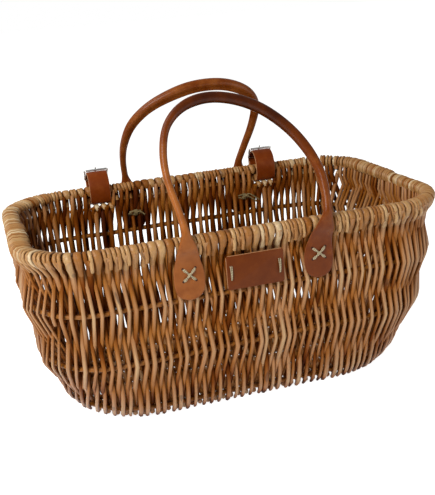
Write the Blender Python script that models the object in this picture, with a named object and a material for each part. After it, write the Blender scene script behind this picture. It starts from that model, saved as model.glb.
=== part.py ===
import math

import bmesh
import bpy
from mathutils import Vector

# Driving dimensions in metres and degrees

RIM_LENGTH = 0.4196
RIM_WIDTH = 0.2756
RIM_TOP = 0.1814
RIM_SECTION = 0.0128
RIM_CORNER = 0.0626
RIM_CORE = 0.0052

BASE_LENGTH = 0.338
BASE_WIDTH = 0.202
BASE_CORNER = 0.0828
END_FLARE_POWER = 2.6
END_BULGE = 0.003
SIDE_FLARE_POWER = 5.0
COLLAR_DEPTH = 0.015

WALL_THICKNESS = 0.009
WRAP_PITCH = 0.0110
WRAP_RELIEF = 0.0009
RIB_DIAMETER = 0.0050
UPPER_RIB_DROP = 0.0525
LOWER_RIB_HEIGHT = 0.067
FOOT_HEIGHT = 0.010

# Pairs of rods in each quarter: front right, rear right, rear left, front left
# Along the long sides they stand upright up to this share of the half length, and draw together past it
ROD_PAIRS = (43, 41, 37, 39)
UPRIGHT_SHARE = 0.787
FIRST_ROD_PLACE = -0.17
SECOND_ROD_PLACE = 0.43
WEAVE_DEPTH = 0.0048

FLOOR_THICKNESS = 0.006
STICK_DIAMETER = 0.0050
STICK_COUNT = 5
STICK_SPACING = 0.028

# Clearances: faces that touch, and a hole that turns on a bar
TOUCH_GAP = 0.0003
PIVOT_GAP = 0.0001

HANDLE_PIVOT_RISE = 0.011
HANDLE_LEAN = 25.0
HANDLE_TOP_DIAMETER = 0.0100
HANDLE_LEG_DIAMETER = 0.0086
HANDLE_NECK_DEPTH = 0.0070
FRONT_LEFT_LEG = -0.0630
FRONT_LEFT_END = -0.0617
FRONT_RIGHT_LEG = 0.0690
FRONT_RIGHT_END = 0.0614
FRONT_ARCH = 0.118
REAR_LEFT_LEG = -0.0630
REAR_LEFT_END = -0.0590
REAR_RIGHT_LEG = 0.0770
REAR_RIGHT_END = 0.0740
REAR_ARCH = 0.1105

TAB_WIDTH = 0.0290
TAB_THICKNESS = 0.0026
TAB_END_DROP = 0.0524
TAB_STITCH_RISE = 0.0232
STITCH_SIZE = 0.0135
CORD_DIAMETER = 0.0024
KNOT_DIAMETER = 0.0052

TAG_LENGTH = 0.0545
TAG_HEIGHT = 0.0318
TAG_THICKNESS = 0.0022
TAG_CENTRE_DROP = 0.0348
TAG_CENTRE_X = -0.0002
TAG_STITCH_LENGTH = 0.0125
TAG_STITCH_INSET = 0.0042

LEFT_STRAP_TAB_GAP = 0.0115
RIGHT_STRAP_TAB_GAP = 0.0040
STRAP_WIDTH = 0.0236
STRAP_THICKNESS = 0.0022
STRAP_LAYER_GAP = 0.0010
STRAP_TAIL = 0.0075
SLOT_ROOM = 0.0023
BUCKLE_WIRE = 0.0024
KEEPER_HEIGHT = 0.0065
KEEPER_THICKNESS = 0.0013
PRONG_DIAMETER = 0.0018
SLOT_ROD_DIAMETER = 0.0036

# Sizes worked out from the ones above
RIM_CENTRE = RIM_TOP - RIM_SECTION / 2
RIM_HALF_LENGTH = (RIM_LENGTH - RIM_SECTION) / 2
RIM_HALF_WIDTH = (RIM_WIDTH - RIM_SECTION) / 2
RIM_OUT = RIM_SECTION / 2
COLLAR_TOP = RIM_CENTRE - RIM_OUT * 0.80
COLLAR_START = RIM_CENTRE - COLLAR_DEPTH
UPPER_RIB_HEIGHT = RIM_CENTRE - UPPER_RIB_DROP
HANDLE_PIVOT_HEIGHT = RIM_CENTRE + HANDLE_PIVOT_RISE
TAB_END_HEIGHT = RIM_CENTRE - TAB_END_DROP
TAB_STITCH_HEIGHT = TAB_END_HEIGHT + TAB_STITCH_RISE
TAG_CENTRE_HEIGHT = RIM_CENTRE - TAG_CENTRE_DROP
ARC_LENGTH = 4 * (RIM_HALF_LENGTH + RIM_HALF_WIDTH) - (8 - 2 * math.pi) * RIM_CORNER
WRAP_COUNT = 4 * max(8, round(ARC_LENGTH / WRAP_PITCH / 4))
LOW_SPAN = (FOOT_HEIGHT + LOWER_RIB_HEIGHT) / 2
MIDDLE_SPAN = (LOWER_RIB_HEIGHT + UPPER_RIB_HEIGHT) / 2
TOP_SPAN = (UPPER_RIB_HEIGHT + RIM_CENTRE) / 2
WALL_ROWS = [0.0, FOOT_HEIGHT, LOW_SPAN, LOWER_RIB_HEIGHT, UPPER_RIB_HEIGHT, COLLAR_START, COLLAR_TOP]
# Height, and how deep the first and the second rod of a pair lie there, as shares of the weave's depth
WEAVE_ROWS = ((0.0, 1.0, 0.3), (FOOT_HEIGHT, 1.0, 0.0), (LOW_SPAN, 1.0, 1.0), (LOWER_RIB_HEIGHT, 0.0, 1.0),
              (MIDDLE_SPAN, 1.0, 1.0), (UPPER_RIB_HEIGHT, 1.0, 0.0), (TOP_SPAN, 1.0, 1.0),
              (COLLAR_START, 0.5, 1.0), (COLLAR_TOP, 0.0, 1.0))
HANDLE_OUT = RIM_OUT + TOUCH_GAP + HANDLE_NECK_DEPTH / 2
LEFT_STRAP_X = REAR_LEFT_END - TAB_WIDTH / 2 - LEFT_STRAP_TAB_GAP - STRAP_WIDTH / 2
RIGHT_STRAP_X = REAR_RIGHT_END + TAB_WIDTH / 2 + RIGHT_STRAP_TAB_GAP + STRAP_WIDTH / 2
STRAP_PLACES = (("left", LEFT_STRAP_X), ("right", RIGHT_STRAP_X))


def clear_scene():
    for existing in list(bpy.data.objects):
        bpy.data.objects.remove(existing, do_unlink=True)


def make_material(name, colour, roughness, metallic=0.0):
    material = bpy.data.materials.new(name)
    material.use_nodes = True
    shader = material.node_tree.nodes["Principled BSDF"]
    shader.inputs["Base Color"].default_value = (*colour, 1.0)
    shader.inputs["Roughness"].default_value = roughness
    shader.inputs["Metallic"].default_value = metallic
    return material


def finish(name, bm, material, smooth=True):
    bmesh.ops.remove_doubles(bm, verts=bm.verts, dist=1e-7)
    bmesh.ops.recalc_face_normals(bm, faces=bm.faces)
    mesh = bpy.data.meshes.new(name)
    bm.to_mesh(mesh)
    bm.free()
    mesh.materials.append(material)
    for polygon in mesh.polygons:
        polygon.use_smooth = smooth
    made = bpy.data.objects.new(name, mesh)
    bpy.context.scene.collection.objects.link(made)
    return made


def combine(target, other, operation):
    modifier = target.modifiers.new("Combine", "BOOLEAN")
    modifier.operation = operation
    modifier.solver = "EXACT"
    modifier.object = other
    graph = bpy.context.evaluated_depsgraph_get()
    mesh = bpy.data.meshes.new_from_object(target.evaluated_get(graph))
    target.modifiers.clear()
    target.data = mesh
    bpy.data.objects.remove(other, do_unlink=True)


def set_origin(made, point):
    offset = Vector(point)
    for vertex in made.data.vertices:
        vertex.co -= offset
    made.location = offset


# Rounded outline of the basket at one level, as points with outward normals

def outline(half_length, half_width, corner, count):
    corner = min(corner, half_width * 0.98, half_length * 0.98)
    straight_x = half_length - corner
    straight_y = half_width - corner
    arc = corner * math.pi / 2
    pieces = [("line", straight_x, (0, -half_width), (1, 0), (0, -1))]
    pieces.append(("arc", arc, (straight_x, -straight_y), -90.0, None))
    pieces.append(("line", 2 * straight_y, (half_length, -straight_y), (0, 1), (1, 0)))
    pieces.append(("arc", arc, (straight_x, straight_y), 0.0, None))
    pieces.append(("line", 2 * straight_x, (straight_x, half_width), (-1, 0), (0, 1)))
    pieces.append(("arc", arc, (-straight_x, straight_y), 90.0, None))
    pieces.append(("line", 2 * straight_y, (-half_length, straight_y), (0, -1), (-1, 0)))
    pieces.append(("arc", arc, (-straight_x, -straight_y), 180.0, None))
    pieces.append(("line", straight_x, (-straight_x, -half_width), (1, 0), (0, -1)))
    total = sum(piece[1] for piece in pieces)
    points = []
    index = 0
    passed = 0.0
    for step in range(count):
        distance = total * step / count
        while distance > passed + pieces[index][1] and index < len(pieces) - 1:
            passed += pieces[index][1]
            index += 1
        kind, length, start, turn, normal = pieces[index]
        along = distance - passed
        if kind == "line":
            points.append((start[0] + turn[0] * along, start[1] + turn[1] * along, *normal))
        else:
            angle = math.radians(turn + 90.0 * along / length)
            normal = (math.cos(angle), math.sin(angle))
            points.append((start[0] + normal[0] * corner, start[1] + normal[1] * corner, *normal))
    return points


# Outer face of the wall at one height: half length, half width and corner radius

def wall_row(height):
    part = min(height / RIM_CENTRE, 1.0)
    end_run = RIM_HALF_LENGTH - BASE_LENGTH / 2
    side_run = RIM_HALF_WIDTH - BASE_WIDTH / 2
    half_length = RIM_HALF_LENGTH - end_run * (1 - part) ** END_FLARE_POWER
    half_length += END_BULGE * min(1.0, part / 0.25, (1 - part) / 0.12)
    half_width = RIM_HALF_WIDTH - side_run * (1 - part) ** SIDE_FLARE_POWER
    corner = BASE_CORNER + (RIM_CORNER - BASE_CORNER) * part
    if height > COLLAR_START:
        flare = WALL_THICKNESS / 2 * (height - COLLAR_START) / (COLLAR_TOP - COLLAR_START)
        half_length += flare
        half_width += flare
        corner += flare
    return Vector((half_length, half_width, corner))


def wall_at(height):
    for low, high in zip(WALL_ROWS[:-1], WALL_ROWS[1:]):
        if height <= high:
            part = (height - low) / (high - low)
            return wall_row(low).lerp(wall_row(high), part)
    return wall_row(COLLAR_TOP)


def ring_points(size, inset, height, count):
    points = []
    for spot in outline(size[0], size[1], size[2], count):
        points.append(Vector((spot[0] - spot[2] * inset, spot[1] - spot[3] * inset, height)))
    return points


# A quarter of the outline starts in the middle of a long side, and a run is measured from there

def quarter_plan(size):
    corner = min(size[2], size[1] * 0.98, size[0] * 0.98)
    straight = size[0] - corner
    return straight, corner, straight + corner * math.pi / 2 + size[1] - corner


def rod_run(size, share):
    rim_straight, rim_corner, rim_run = quarter_plan((RIM_HALF_LENGTH, RIM_HALF_WIDTH, RIM_CORNER))
    straight, corner, whole = quarter_plan(size)
    limit = RIM_HALF_LENGTH * UPRIGHT_SHARE
    limit_run = rim_straight + rim_corner * math.asin(max(limit - rim_straight, 0.0) / rim_corner)
    squeeze = min(1.0, 0.95 * size[0] / limit)
    run = share * rim_run
    turn = max(min(run, limit_run) - rim_straight, 0.0) / rim_corner
    across = (min(run, limit_run, rim_straight) + rim_corner * math.sin(turn)) * squeeze
    if across > straight:
        across = straight + corner * math.asin((across - straight) / corner)
    if run > limit_run:
        across += (whole - across) * (run - limit_run) / (rim_run - limit_run)
    return across


def quarter_spot(size, quarter, run):
    straight, corner, whole = quarter_plan(size)
    turn = min(max(run - straight, 0.0) / corner, math.pi / 2)
    x = min(run, straight) + corner * math.sin(turn)
    y = size[1] - corner + corner * math.cos(turn) - max(run - straight - corner * math.pi / 2, 0.0)
    side_x = 1 if quarter < 2 else -1
    side_y = 1 if quarter in (1, 2) else -1
    return side_x * x, side_y * y, side_x * math.sin(turn), side_y * math.cos(turn)


def rod_points(height, places):
    size = wall_row(height)
    points = []
    for quarter, pairs in enumerate(ROD_PAIRS):
        for step in range(pairs):
            for place, depth in places:
                share = (step + 0.5 + place) / pairs
                if quarter in (1, 3):
                    share = 1.0 - share
                spot = quarter_spot(size, quarter, rod_run(size, share))
                points.append(Vector((spot[0] - spot[2] * depth, spot[1] - spot[3] * depth, height)))
    return points


# Skin between two closed rows, where the second may have half as many points

def bridge(bm, first, second):
    count = len(first)
    if len(second) == count:
        for step in range(count):
            after = (step + 1) % count
            bm.faces.new((first[step], first[after], second[after], second[step]))
        return
    if len(second) > count:
        bridge(bm, second, first)
        return
    half = len(second)
    for step in range(half):
        after = (step + 1) % half
        low = first[2 * step]
        peak = first[2 * step + 1]
        high = first[(2 * step + 2) % count]
        bm.faces.new((low, peak, second[step]))
        bm.faces.new((peak, second[after], second[step]))
        bm.faces.new((peak, high, second[after]))


def ring_solid(name, rows, material):
    bm = bmesh.new()
    made = [[bm.verts.new(point) for point in row] for row in rows]
    for step, row in enumerate(made):
        bridge(bm, row, made[(step + 1) % len(made)])
    return finish(name, bm, material)


def hoop(name, size, inset, height, radius, count, sides, material):
    rows = []
    for side in range(sides):
        angle = 2 * math.pi * side / sides
        offset = inset - radius * math.cos(angle)
        level = height + radius * math.sin(angle)
        rows.append(ring_points(size, offset, level, count))
    return ring_solid(name, rows, material)


# Solid made of rows of points, capped at both ends

def loft(name, rows, material, smooth=True):
    bm = bmesh.new()
    made = [[bm.verts.new(point) for point in row] for row in rows]
    count = len(rows[0])
    for low, high in zip(made[:-1], made[1:]):
        for step in range(count):
            after = (step + 1) % count
            bm.faces.new((low[step], low[after], high[after], high[step]))
    bm.faces.new(list(reversed(made[0])))
    bm.faces.new(made[-1])
    return finish(name, bm, material, smooth)


def tube(name, path, radii, sides, material, closed=False):
    path = [Vector(point) for point in path]
    count = len(path)
    tangents = []
    for step in range(count):
        if closed:
            tangent = path[(step + 1) % count] - path[step - 1]
        else:
            tangent = path[min(step + 1, count - 1)] - path[max(step - 1, 0)]
        tangents.append(tangent.normalized())
    side = tangents[0].orthogonal().normalized()
    rows = []
    for step in range(count):
        side = (side - tangents[step] * side.dot(tangents[step])).normalized()
        over = tangents[step].cross(side)
        radius = radii[step] if isinstance(radii, list) else radii
        row = []
        for corner in range(sides):
            angle = 2 * math.pi * corner / sides
            row.append(path[step] + (side * math.cos(angle) + over * math.sin(angle)) * radius)
        rows.append(row)
    if not closed:
        return loft(name, rows, material)
    bm = bmesh.new()
    made = [[bm.verts.new(point) for point in row] for row in rows]
    for step in range(count):
        low = made[step]
        high = made[(step + 1) % count]
        for corner in range(sides):
            after = (corner + 1) % sides
            bm.faces.new((low[corner], low[after], high[after], high[corner]))
    return finish(name, bm, material)


def smooth_path(points, pieces):
    points = [Vector(point) for point in points]
    result = []
    for step in range(len(points) - 1):
        before = points[max(step - 1, 0)]
        start = points[step]
        end = points[step + 1]
        after = points[min(step + 2, len(points) - 1)]
        for piece in range(pieces):
            part = piece / pieces
            first = start * 2 + (end - before) * part
            second = (before * 2 - start * 5 + end * 4 - after) * part ** 2
            third = (start * 3 - before - end * 3 + after) * part ** 3
            result.append((first + second + third) / 2)
    result.append(points[-1])
    return result


def box(name, low, high, material):
    rows = []
    for z in (low[2], high[2]):
        rows.append([(low[0], low[1], z), (high[0], low[1], z), (high[0], high[1], z), (low[0], high[1], z)])
    return loft(name, rows, material, False)


# Woven body
# One rod of a pair comes out at the rim and the lower rib, the other at the upper rib and the foot

def make_wall(material):
    rows = []
    for height, first, second in WEAVE_ROWS:
        places = ((FIRST_ROD_PLACE, first * WEAVE_DEPTH), (SECOND_ROD_PLACE, second * WEAVE_DEPTH))
        rows.append(rod_points(height, places))
    for height in reversed(WALL_ROWS):
        rows.append(rod_points(height, ((FIRST_ROD_PLACE, WALL_THICKNESS),)))
    return ring_solid("woven_wall", rows, material)


def cut_slots(wall, material):
    for side, centre in STRAP_PLACES:
        reach = STRAP_WIDTH / 2 + 2 * TOUCH_GAP
        low = (centre - reach, RIM_HALF_WIDTH - 3 * WALL_THICKNESS, RIM_CENTRE - SLOT_DEPTH)
        high = (centre + reach, RIM_HALF_WIDTH + 2 * WALL_THICKNESS, RIM_CENTRE)
        combine(wall, box("slot_cutter", low, high, material), "DIFFERENCE")


def make_rim(wrap_material, core_material):
    size = Vector((RIM_HALF_LENGTH, RIM_HALF_WIDTH, RIM_CORNER))
    rows = []
    for angle in (-50, -12, 26, 64, 116, 154, 192, 230):
        turn = math.radians(angle)
        row = []
        for step, spot in enumerate(outline(*size, 2 * WRAP_COUNT)):
            radius = RIM_OUT
            if step % 2 == 0:
                radius -= WRAP_RELIEF
            out = radius * math.cos(turn)
            level = RIM_CENTRE + radius * math.sin(turn)
            row.append(Vector((spot[0] + spot[2] * out, spot[1] + spot[3] * out, level)))
        rows.append(row)
    inner = (RIM_CORE / 2 + TOUCH_GAP) / math.cos(math.radians(24))
    for angle in (230, 180, 132, 90, 48, 0, -50):
        turn = math.radians(angle)
        level = RIM_CENTRE + inner * math.sin(turn)
        rows.append(ring_points(size, -inner * math.cos(turn), level, WRAP_COUNT))
    ring_solid("rim_wrapping", rows, wrap_material)
    hoop("rim_core", size, 0.0, RIM_CENTRE, RIM_CORE / 2, WRAP_COUNT, 6, core_material)


def make_ribs(material):
    radius = RIB_DIAMETER / 2
    count = WRAP_COUNT // 2
    for name, height in (("upper_rib", UPPER_RIB_HEIGHT), ("lower_rib", LOWER_RIB_HEIGHT)):
        below = wall_at(height - radius)
        here = wall_at(height)
        slope = max((here[0] - below[0]) / radius, (here[1] - below[1]) / radius)
        inset = WALL_THICKNESS + (radius + TOUCH_GAP) * math.sqrt(1 + slope * slope)
        hoop(name, here, inset, height, radius, count, 6, material)
    height = FLOOR_THICKNESS + TOUCH_GAP + radius
    size = wall_at(height - radius)
    hoop("foot_rib", size, WALL_THICKNESS + TOUCH_GAP + radius, height, radius, count, 6, material)


def make_floor(floor_material, stick_material):
    size = wall_row(0.0)
    inset = WALL_THICKNESS + TOUCH_GAP
    rows = [ring_points(size, inset, level, WRAP_COUNT) for level in (0.0, FLOOR_THICKNESS)]
    loft("woven_floor", rows, floor_material)
    radius = STICK_DIAMETER / 2
    level = FLOOR_THICKNESS + TOUCH_GAP + radius
    rib = wall_at(FLOOR_THICKNESS + TOUCH_GAP)
    inner = rib - Vector((1, 1, 1)) * (WALL_THICKNESS + 2 * TOUCH_GAP + RIB_DIAMETER + 0.0004)
    for step in range(STICK_COUNT):
        y = (step - (STICK_COUNT - 1) / 2) * STICK_SPACING
        near = abs(y) + radius
        over = max(near - (inner[1] - inner[2]), 0.0)
        half = inner[0] - inner[2] + math.sqrt(max(inner[2] ** 2 - over ** 2, 0.0))
        tube("floor_stick_%d" % (step + 1), [(-half, y, level), (half, y, level)], radius, 8, stick_material)


# Leather handles, each leaning over the basket from a line outside the rim
# Their curves are percentages across from the left foot to the right one, and of the rise

FRONT_CURVE = ((0, 0), (-1.9, 16.9), (-5.3, 39.8), (-4.9, 61.0), (0.8, 81.4), (13.6, 94.9), (31.1, 100),
               (50.0, 96.6), (68.2, 86.4), (84.1, 69.5), (94.7, 50.8), (100.4, 32.2), (101.1, 15.3), (100, 0))
REAR_CURVE = ((0, 0), (-1.4, 20.9), (-0.4, 40.9), (5.7, 62.7), (18.6, 80.0), (35.7, 91.8), (55.7, 99.5),
              (76.4, 100), (92.9, 94.1), (105.0, 83.6), (111.1, 67.3), (109.3, 44.5), (104.6, 21.8), (100, 0))


def handle_point(side, across, up, out=0.0):
    lean = math.radians(HANDLE_LEAN)
    depth = RIM_HALF_WIDTH + HANDLE_OUT
    y = depth - up * math.sin(lean) + out * math.cos(lean)
    z = HANDLE_PIVOT_HEIGHT + up * math.cos(lean) + out * math.sin(lean)
    return (across, side * y, z)


def make_handle(name, side, curve, left, right, arch, material):
    keys = []
    for across, up in curve:
        keys.append(handle_point(side, left + (right - left) * across / 100, arch * up / 100))
    path = smooth_path(keys, 2)
    ball = HANDLE_LEG_DIAMETER / 2
    radii = []
    for step in range(len(path)):
        near = min(step, len(path) - 1 - step) / (len(path) / 2)
        swell = min(1.0, max(0.0, (near - 0.15) / 0.35))
        radii.append((HANDLE_LEG_DIAMETER + (HANDLE_TOP_DIAMETER - HANDLE_LEG_DIAMETER) * swell) / 2)
    ends = []
    for drop, radius in ((0.94, 0.34), (0.70, 0.71)):
        ends.append((drop * ball, radius * ball))
    head = [(Vector(handle_point(side, left, -drop)), radius) for drop, radius in ends]
    tail = [(Vector(handle_point(side, right, -drop)), radius) for drop, radius in reversed(ends)]
    full = [item[0] for item in head] + path + [item[0] for item in tail]
    sizes = [item[1] for item in head] + radii + [item[1] for item in tail]
    made = tube(name, full, sizes, 10, material)
    set_origin(made, (0, side * (RIM_HALF_WIDTH + HANDLE_OUT), HANDLE_PIVOT_HEIGHT))


def make_tab(name, side, top_x, end_x, material):
    neck = HANDLE_PIVOT_HEIGHT - HANDLE_LEG_DIAMETER / 2 - TOUCH_GAP
    face = RIM_OUT + TOUCH_GAP
    low = wall_row(TAB_STITCH_HEIGHT)[1] - RIM_HALF_WIDTH + TOUCH_GAP
    half = TAB_WIDTH / 2
    slim = HANDLE_LEG_DIAMETER / 2
    rows = []
    shoulder = COLLAR_START - 0.001
    plan = [(neck, slim * 0.9, face, HANDLE_NECK_DEPTH), (RIM_CENTRE, half * 0.53, face, HANDLE_NECK_DEPTH * 0.6)]
    plan.append((COLLAR_TOP - TOUCH_GAP, half * 0.69, face, TAB_THICKNESS))
    for share, width in ((1.0, 0.92), (0.66, 1.0), (0.37, 1.0), (0.16, 0.86), (0.045, 0.58), (0.0, 0.25)):
        height = TAB_END_HEIGHT + (shoulder - TAB_END_HEIGHT) * share
        plan.append((height, half * width, low, TAB_THICKNESS))
    top = plan[0][0]
    for height, width, back, thick in plan:
        part = (top - height) / (top - TAB_END_HEIGHT)
        x = top_x + (end_x - top_x) * min(1.0, part * 1.6)
        inner = side * (RIM_HALF_WIDTH + back)
        outer = side * (RIM_HALF_WIDTH + back + thick)
        soft = side * (RIM_HALF_WIDTH + back + thick * 0.6)
        rows.append([(x - width, inner, height), (x + width, inner, height), (x + width, soft, height),
                     (x + width * 0.8, outer, height), (x - width * 0.8, outer, height), (x - width, soft, height)])
    loft(name, rows, material)
    return low + TAB_THICKNESS


def make_cross(name, side, centre_x, surface, material):
    radius = CORD_DIAMETER / 2
    bottom = surface + TOUCH_GAP + radius * 0.3
    crest = surface + TOUCH_GAP + radius
    half = STITCH_SIZE / 2
    made = []
    for lean in (1, -1):
        path = []
        for part, depth in ((-1.0, bottom - 0.0), (-0.86, crest), (0.0, crest + 0.0003), (0.86, crest), (1.0, bottom)):
            y = side * (RIM_HALF_WIDTH + depth)
            path.append((centre_x + lean * part * half, y, TAB_STITCH_HEIGHT + part * half))
        radii = [radius * 0.28, radius, radius, radius, radius * 0.28]
        made.append(tube(name if lean == 1 else "second_cord", path, radii, 8, material))
    combine(made[0], made[1], "UNION")


def make_knot(name, side, centre_x, material):
    radius = CORD_DIAMETER / 2
    depth = wall_at(TAB_STITCH_HEIGHT - 0.004)[1] - WALL_THICKNESS - TOUCH_GAP - 0.0002
    half = STITCH_SIZE / 2
    y = side * (depth - radius)
    cord = tube(name, [(centre_x - half, y, TAB_STITCH_HEIGHT), (centre_x + half, y, TAB_STITCH_HEIGHT)], radius, 8, material)
    ball = KNOT_DIAMETER / 2
    y = side * (depth - ball)
    path = []
    radii = []
    for step in range(7):
        angle = math.pi * (step + 0.35) / 6.7
        path.append((centre_x, y, TAB_STITCH_HEIGHT - ball * math.cos(angle)))
        radii.append(ball * math.sin(angle))
    combine(cord, tube("knot_ball", path, radii, 8, material), "UNION")


# Leather tag on the front, held by one short cord at each end

def make_tag(leather, cord):
    low = TAG_CENTRE_HEIGHT - TAG_HEIGHT / 2
    high = TAG_CENTRE_HEIGHT + TAG_HEIGHT / 2
    back = wall_row(TAG_CENTRE_HEIGHT)[1] + TOUCH_GAP
    corner = 0.002
    half = TAG_LENGTH / 2
    shape = []
    for x, z, start in ((half, low, -90), (half, high, 0), (-half, high, 90), (-half, low, 180)):
        inset_x = x - math.copysign(corner, x)
        inset_z = z - math.copysign(corner, z - TAG_CENTRE_HEIGHT)
        for step in range(3):
            angle = math.radians(start + 45 * step)
            shape.append((TAG_CENTRE_X + inset_x + corner * math.cos(angle), inset_z + corner * math.sin(angle)))
    rows = []
    for depth in (back, back + TAG_THICKNESS):
        rows.append([(x, -depth, z) for x, z in shape])
    loft("leather_tag", rows, leather, False)
    radius = CORD_DIAMETER / 2 * 0.8
    face = back + TAG_THICKNESS + TOUCH_GAP
    for name, side in (("tag_stitch_left", -1), ("tag_stitch_right", 1)):
        x = TAG_CENTRE_X + side * (half - TAG_STITCH_INSET)
        path = []
        radii = []
        for part, lift, size in ((-1, 0.3, 0.28), (-0.85, 1, 1), (0, 1.1, 1), (0.85, 1, 1), (1, 0.3, 0.28)):
            path.append((x, -(face + radius * lift), TAG_CENTRE_HEIGHT + part * TAG_STITCH_LENGTH / 2))
            radii.append(radius * size)
        tube(name, path, radii, 8, cord)


# Buckled straps round the rear rim, drawn out from and above the rim's centre
# A spot is an angle, and a distance counted in the rim's radius

def rim_spot(angle, radii):
    turn = math.radians(angle)
    return Vector((math.cos(turn), math.sin(turn))) * (RIM_OUT * radii)


WIRE = BUCKLE_WIRE / 2
HALF_BAND = STRAP_THICKNESS / 2
BAR_STEP = WIRE + TOUCH_GAP + HALF_BAND
TOP_BAR = rim_spot(77.0, 3.75)
PIVOT_BAR = rim_spot(36.5, 3.0)
FRAME_RISE = (TOP_BAR - PIVOT_BAR).normalized()
FRAME_NORMAL = Vector((FRAME_RISE[1], -FRAME_RISE[0]))
LAYER_STEP = Vector((STRAP_THICKNESS + STRAP_LAYER_GAP, 0))
UNDER_LAYER = [rim_spot(24.7, 2.61), rim_spot(3.9, 2.30), rim_spot(-21.3, 2.36)]
STRAP_PATH = UNDER_LAYER + [rim_spot(-46.8, 2.41), rim_spot(-72.0, 2.27), rim_spot(-102.3, 2.20)]
STRAP_PATH += [rim_spot(-127.5, 2.13), rim_spot(-164.3, 1.73), rim_spot(147.7, 1.91)]
STRAP_PATH += [rim_spot(113.7, 2.56), rim_spot(91.7, 3.11), TOP_BAR - Vector((0, BAR_STEP))]
STRAP_PATH += [(TOP_BAR + PIVOT_BAR) / 2 + FRAME_NORMAL * WIRE * 0.4, PIVOT_BAR + FRAME_NORMAL * BAR_STEP]
STRAP_PATH += [spot + LAYER_STEP for spot in UNDER_LAYER]
STRAP_PATH += [STRAP_PATH[-1] - Vector((0.12, 0.99)) * STRAP_TAIL * share for share in (0.67, 1.0)]
SLOT_DEPTH = HALF_BAND + SLOT_ROOM + SLOT_ROD_DIAMETER - min(spot[1] for spot in STRAP_PATH[:9])
KEEPER_CENTRE = (UNDER_LAYER[1] * 0.7 + UNDER_LAYER[2] * 0.3) + LAYER_STEP / 2
KEEPER_SLOPE = math.degrees(math.atan2(UNDER_LAYER[1][0] - UNDER_LAYER[2][0], UNDER_LAYER[1][1] - UNDER_LAYER[2][1]))


def strap_point(x, spot):
    return Vector((x, RIM_HALF_WIDTH + spot[0], RIM_CENTRE + spot[1]))


def make_strap(name, centre_x, material, cutter_material):
    spots = [Vector((point[0], point[1], 0)) for point in STRAP_PATH]
    path = smooth_path(spots[:-1], 2) + [spots[-1]]
    rows = []
    for step, spot in enumerate(path):
        ahead = path[min(step + 1, len(path) - 1)]
        behind = path[max(step - 1, 0)]
        along = (ahead - behind).normalized()
        out = Vector((along[1], -along[0], 0)) * HALF_BAND
        half = STRAP_WIDTH / 2
        if step == len(path) - 1:
            half *= 0.45
        elif step == len(path) - 2:
            half *= 0.90
        rows.append([strap_point(centre_x - half, spot - out), strap_point(centre_x + half, spot - out),
                     strap_point(centre_x + half, spot + out), strap_point(centre_x - half, spot + out)])
    strap = loft(name, rows, material)
    half = PRONG_DIAMETER * 1.1
    corners = []
    for rise, lift in ((-2.6, -0.55), (5.4, -0.55), (5.4, 3.6), (-2.6, 3.6)):
        corners.append(PIVOT_BAR + (FRAME_RISE * rise + FRAME_NORMAL * lift) * PRONG_DIAMETER)
    rows = [[strap_point(centre_x + x, spot) for spot in corners] for x in (-half, half)]
    combine(strap, loft("prong_slot", rows, cutter_material, False), "DIFFERENCE")
    set_origin(strap, (centre_x, RIM_HALF_WIDTH, RIM_CENTRE))


def make_buckle(side_name, centre_x, material):
    half = STRAP_WIDTH / 2 + TOUCH_GAP + WIRE
    corner = WIRE * 4 / 3
    path = []
    for x, spot, turn in ((half, PIVOT_BAR, 1), (half, TOP_BAR, -1), (-half, TOP_BAR, 1), (-half, PIVOT_BAR, -1)):
        rise = FRAME_RISE if spot is PIVOT_BAR else -FRAME_RISE
        along = strap_point(centre_x + x, spot + rise * corner)
        across = strap_point(centre_x + x - math.copysign(corner, x), spot)
        path += [across, along] if turn == 1 else [along, across]
    frame = tube(side_name + "_buckle_frame", path, WIRE, 8, material, closed=True)
    set_origin(frame, strap_point(centre_x, PIVOT_BAR))

    inner = (WIRE + PIVOT_GAP) / math.cos(math.pi / 12)
    outer = inner + PRONG_DIAMETER * 0.55
    width = PRONG_DIAMETER * 0.75
    bm = bmesh.new()
    rings = []
    for x, radius in ((-width, inner), (-width, outer), (width, outer), (width, inner)):
        ring = []
        for step in range(12):
            angle = 2 * math.pi * step / 12
            spot = PIVOT_BAR + Vector((math.cos(angle), math.sin(angle))) * radius
            ring.append(bm.verts.new(strap_point(centre_x + x, spot)))
        rings.append(ring)
    for step in range(4):
        bridge(bm, rings[step], rings[(step + 1) % 4])
    prong = finish(side_name + "_buckle_prong", bm, material)
    radius = PRONG_DIAMETER / 2
    rest = WIRE + TOUCH_GAP + radius
    spots = [PIVOT_BAR + FRAME_NORMAL * (outer - radius * 0.45) + FRAME_RISE * radius * 0.3]
    spots.append(PIVOT_BAR + FRAME_NORMAL * radius * 3.3 + FRAME_RISE * radius * 4.4)
    spots.append(TOP_BAR + FRAME_NORMAL * rest - FRAME_RISE * radius * 3.3)
    spots.append(TOP_BAR + FRAME_NORMAL * rest)
    spots.append(TOP_BAR + FRAME_NORMAL * (rest - radius * 0.2) + FRAME_RISE * radius * 2.9)
    path = [strap_point(centre_x, spot) for spot in spots]
    shank = tube("prong_shank", path, [radius, radius, radius, radius, radius * 0.6], 8, material)
    combine(prong, shank, "UNION")
    set_origin(prong, strap_point(centre_x, PIVOT_BAR))


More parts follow.
